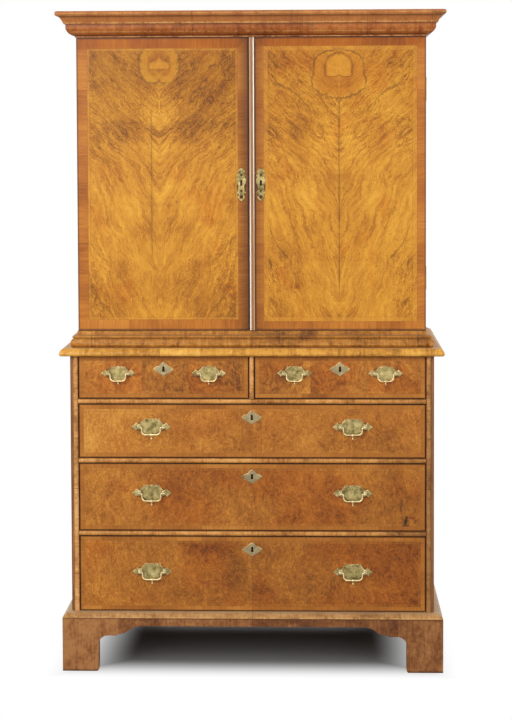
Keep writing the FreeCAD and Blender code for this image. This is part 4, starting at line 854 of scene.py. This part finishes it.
# worn arrises: loose triangles are joined and sharp edges rounded
arrisLook = {"weld": 0.00002, "segments": 2, "angle": 40}
arrises = {"plinth_front": 0.0016, "left_door_escutcheon": 0.0008, "right_door_escutcheon": 0.0008,
           "shelves": 0.001, "cabinet_top_board": 0.001}
for name in drawerNames:
    arrises[name + "_brasses"] = 0.0008
for node, width in arrises.items():
    weld = cadNodes[node].modifiers.new("weld", "WELD")
    weld.merge_threshold = arrisLook["weld"]
    bevel = cadNodes[node].modifiers.new("arris", "BEVEL")
    bevel.width = width
    bevel.segments = arrisLook["segments"]
    bevel.limit_method = "ANGLE"
    bevel.angle_limit = math.radians(arrisLook["angle"])
    bevel.use_clamp_overlap = not node.endswith(("_brasses", "_escutcheon"))


# screws, pins and drops, spread by geometry nodes
def spread(name, spots, facing, sizes, material, body):
    mesh = bpy.data.meshes.new(name)
    mesh.from_pydata(spots, [], [])
    thing = stand(name, mesh)
    tree = bpy.data.node_groups.new(name + "Nodes", "GeometryNodeTree")
    face = tree.interface
    face.new_socket("Geometry", in_out="INPUT", socket_type="NodeSocketGeometry")
    wanted = {}
    for label, value in sizes.items():
        socket = face.new_socket(label, in_out="INPUT", socket_type="NodeSocketFloat")
        wanted[socket.identifier] = value
    face.new_socket("Geometry", in_out="OUTPUT", socket_type="NodeSocketGeometry")

    g = Nodes(tree)
    given = {label: g.add("NodeGroupInput", output=label) for label in ("Geometry", *sizes)}
    head = g.add("GeometryNodeMeshUVSphere", None,
                 {"Segments": 14, "Rings": 8, "Radius": given["Radius"]})
    head = g.add("GeometryNodeTransform", None,
                 {"Geometry": head, "Scale": g.point(1.0, 1.0, given["Dome"])})
    if "Slot" in sizes:
        saw = g.add("GeometryNodeMeshCube", None,
                    {"Size": g.point(0.02, given["Slot"], given["Radius"])})
        saw = g.add("GeometryNodeTransform", None,
                    {"Geometry": saw, "Translation": g.point(0.0, 0.0, given["Lift"])})
        head = g.add("GeometryNodeMeshBoolean", {"operation": "DIFFERENCE"},
                     {"Mesh 1": head, "Mesh 2": saw})
    turn = g.add("FunctionNodeRandomValue", {"data_type": "FLOAT"},
                 {2: 0.0, 3: math.pi, "Seed": 4}, output=1)
    spin = g.add("FunctionNodeEulerToRotation", None, {0: g.point(0.0, 0.0, turn)})
    aim = g.add("FunctionNodeAlignRotationToVector", {"axis": "Z"}, {"Vector": facing})
    both = g.add("FunctionNodeRotateRotation", {"rotation_space": "LOCAL"}, {0: aim, 1: spin})
    placed = g.add("GeometryNodeInstanceOnPoints", None,
                   {"Points": given["Geometry"], "Instance": head, "Rotation": both})
    real = g.add("GeometryNodeRealizeInstances", None, {0: placed})
    painted = g.add("GeometryNodeSetMaterial", None, {"Geometry": real, "Material": material})
    g.add("NodeGroupOutput", None, {0: painted})
    modifier = thing.modifiers.new("spread", "NODES")
    modifier.node_group = tree
    for identifier, value in wanted.items():
        modifier[identifier] = value
    graph = bpy.context.evaluated_depsgraph_get()
    solid = bpy.data.meshes.new_from_object(thing.evaluated_get(graph))
    thing.modifiers.clear()
    thing.data = solid
    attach(thing, body)


screwSizes = {"Radius": 0.0024, "Dome": 0.16, "Slot": 0.0007, "Lift": 0.0025}
screwBrass = oldBrass("screwBrass", 12.0, -0.02)
leafLook = {"height": 0.066, "screwIn": 0.0125, "screwsAt": (0.18, 0.5, 0.82), "sunk": 0.0002}


def leafScrews(node, y):
    # three screws up the middle of each leaf
    low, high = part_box(node)
    columns = [low[0] + leafLook["screwIn"]] if low[0] < 0 else []
    if high[0] > 0:
        columns.append(high[0] - leafLook["screwIn"])
    feet = (low[2], high[2] - leafLook["height"])
    return [(x, y, foot + leafLook["height"] * share)
            for x in columns for foot in feet for share in leafLook["screwsAt"]]


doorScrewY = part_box("left_door")[1][1] - leafLook["sunk"]
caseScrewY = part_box("cabinet_sides")[0][1] + leafLook["sunk"]
for name, body, y, facing in (("leftDoorScrews", "left_door", doorScrewY, (0, 1, 0)),
                              ("rightDoorScrews", "right_door", doorScrewY, (0, 1, 0)),
                              ("caseScrews", "case", caseScrewY, (0, -1, 0))):
    spread(name, leafScrews(body + "_hinge_leaves", y), facing, screwSizes, screwBrass, body)

pinSizes = {"Radius": 0.0011, "Dome": 0.6}
pinPlaces = {"sunk": 0.0001, "foot": 0.0035, "head": 0.0055}
for side in ("left", "right"):
    node = side + "_door_escutcheon"
    low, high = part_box(node)
    x, y = middle(node), low[1] + pinPlaces["sunk"]
    spots = [(x, y, low[2] + pinPlaces["foot"]), (x, y, high[2] - pinPlaces["head"])]
    spread(side + "KeyPlatePins", spots, (0, -1, 0), pinSizes, bailBrass, side + "_door")

# a small drop below the point of each handle plate
dropSizes = {"Radius": 0.0021, "Dome": 1.6}
dropPlace = {"proud": 0.0022, "below": 0.0008}
for name in drawerNames:
    y = faceY - dropPlace["proud"]
    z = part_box(name + "_brasses")[0][2] - dropPlace["below"]
    spots = [(middle(name + "_" + hand + "_bail"), y, z) for hand in ("left", "right")]
    spread(name + "Drops", spots, (0, 0, -1), dropSizes, bailBrass, name)
print("set screws, pins and drops")


# floor: grey paper that takes the object's shadow, shown white to the camera away from the chest; the
# white reaches in under the chest's edges as painted light that softens its shadow there
floorLook = {"dark": (124, 124, 124), "light": (132, 132, 132), "reach": 9.0, "level": -0.0003,
             "sides": (0.335, 0.58), "front": (0.145, 0.335), "back": (0.23, 0.44)}


def studio():
    reach, level = floorLook["reach"], floorLook["level"]
    corners = [(x * reach, y * reach, level) for x, y in ((-1, -1), (1, -1), (1, 1), (-1, 1))]
    mesh = bpy.data.meshes.new("studioFloor")
    mesh.from_pydata(corners, [], [(0, 1, 2, 3)])
    thing = stand("studioFloor", mesh)
    f = Finish("studioPaper")
    cloud = f.grit(2, detail=2)
    colour = f.ramp(cloud, floorLook, dark=0.3, light=0.7)
    paper = f.add("ShaderNodeBsdfDiffuse", None, {"Color": colour})
    glow = f.add("ShaderNodeEmission", None, {"Color": (1, 1, 1, 1), "Strength": 1.0})
    # painted light: the white reaches inside the chest's footprint, lightening the shadow near the feet,
    # sides and front
    alongY = f.most(f.ease(0 - f.y, *floorLook["front"]), f.ease(f.y, *floorLook["back"]))
    clear = f.most(f.ease(abs(f.x), *floorLook["sides"]), alongY)
    surface = f.add("ShaderNodeMixShader", None, {0: clear * f.seen(), 1: paper, 2: glow})
    f.add("ShaderNodeOutputMaterial", None, {0: surface})
    mesh.materials.append(f.material)


studio()

# a surround that is white to look at and lights mostly from above and in front, and four lamps
skyLook = {"aim": (0.0, -0.55, 0.83), "span": (-0.1, 1.0), "strength": (0.05, 0.4)}
world = bpy.data.worlds.new("studioWorld")
bpy.context.scene.world = world
world.use_nodes = True
sky = Nodes(world.node_tree)
sky.tree.nodes.clear()
direction = sky.add("ShaderNodeTexCoord", output="Generated")
lean = sky.add("ShaderNodeVectorMath", {"operation": "DOT_PRODUCT"},
               {0: direction, 1: skyLook["aim"]}, output="Value")
level = sky.add("ShaderNodeMapRange", {"interpolation_type": "SMOOTHSTEP"},
                dict(enumerate((lean, *skyLook["span"], *skyLook["strength"]))))
dim = sky.add("ShaderNodeBackground", None, {0: (1, 1, 1, 1), 1: level})
white = sky.add("ShaderNodeBackground", None, {0: (1, 1, 1, 1), 1: 1.0})
blend = sky.add("ShaderNodeMixShader", None, {0: sky.seen(), 1: dim, 2: white})
sky.add("ShaderNodeOutputWorld", None, {0: blend})
lampLooks = {
    "key": {"place": (-2.1, -4.3, 2.6), "aim": (0, -0.1, 0.95), "size": 2.4, "power": 150},
    "fill": {"place": (2.4, -4.4, 2.4), "aim": (0, -0.1, 0.95), "size": 2.4, "power": 84},
    "leftRear": {"place": (-3.2, 3.0, 4.2), "aim": (0, 0.1, 1.1), "size": 2.2, "power": 120},
    "rightRear": {"place": (3.2, 3.0, 4.2), "aim": (0, 0.1, 1.1), "size": 2.2, "power": 120},
}
for name, look in lampLooks.items():
    lamp = bpy.data.lights.new(name + "Lamp", "AREA")
    lamp.shape = "SQUARE"
    lamp.size = look["size"]
    lamp.energy = look["power"]
    thing = stand(name + "Lamp", lamp)
    thing.location = look["place"]
    thing.visible_camera = False
    aim = Vector(look["aim"]) - Vector(look["place"])
    thing.rotation_euler = aim.to_track_quat("-Z", "Y").to_euler()

# camera, as the photograph was taken: nearly square on, a little above the middle
cameraLook = {"place": (0.185, -5.2445, 1.4934), "turn": -1.96, "tilt": -2.85, "roll": -0.216,
              "lens": 90.98, "shiftY": -0.1884}
lens = bpy.data.cameras.new("studioCamera")
lens.sensor_width = 36.0
lens.sensor_fit = "AUTO"
lens.lens = cameraLook["lens"]
lens.shift_y = cameraLook["shiftY"]
lens.clip_end = 100
camera = stand("studioCamera", lens)
turn, tilt, roll = (math.radians(cameraLook[key]) for key in ("turn", "tilt", "roll"))
ahead = Vector((math.sin(turn) * math.cos(tilt), math.cos(turn) * math.cos(tilt), math.sin(tilt)))
right = Vector((math.cos(turn), -math.sin(turn), 0))
above = right.cross(ahead)
rolledRight = right * math.cos(roll) + above * math.sin(roll)
rolledAbove = above * math.cos(roll) - right * math.sin(roll)
pose = Matrix((rolledRight, rolledAbove, -ahead)).transposed().to_4x4()
pose.translation = cameraLook["place"]
camera.matrix_world = pose
bpy.context.scene.camera = camera
bpy.context.scene.view_settings.view_transform = "Standard"
print("lit and framed")
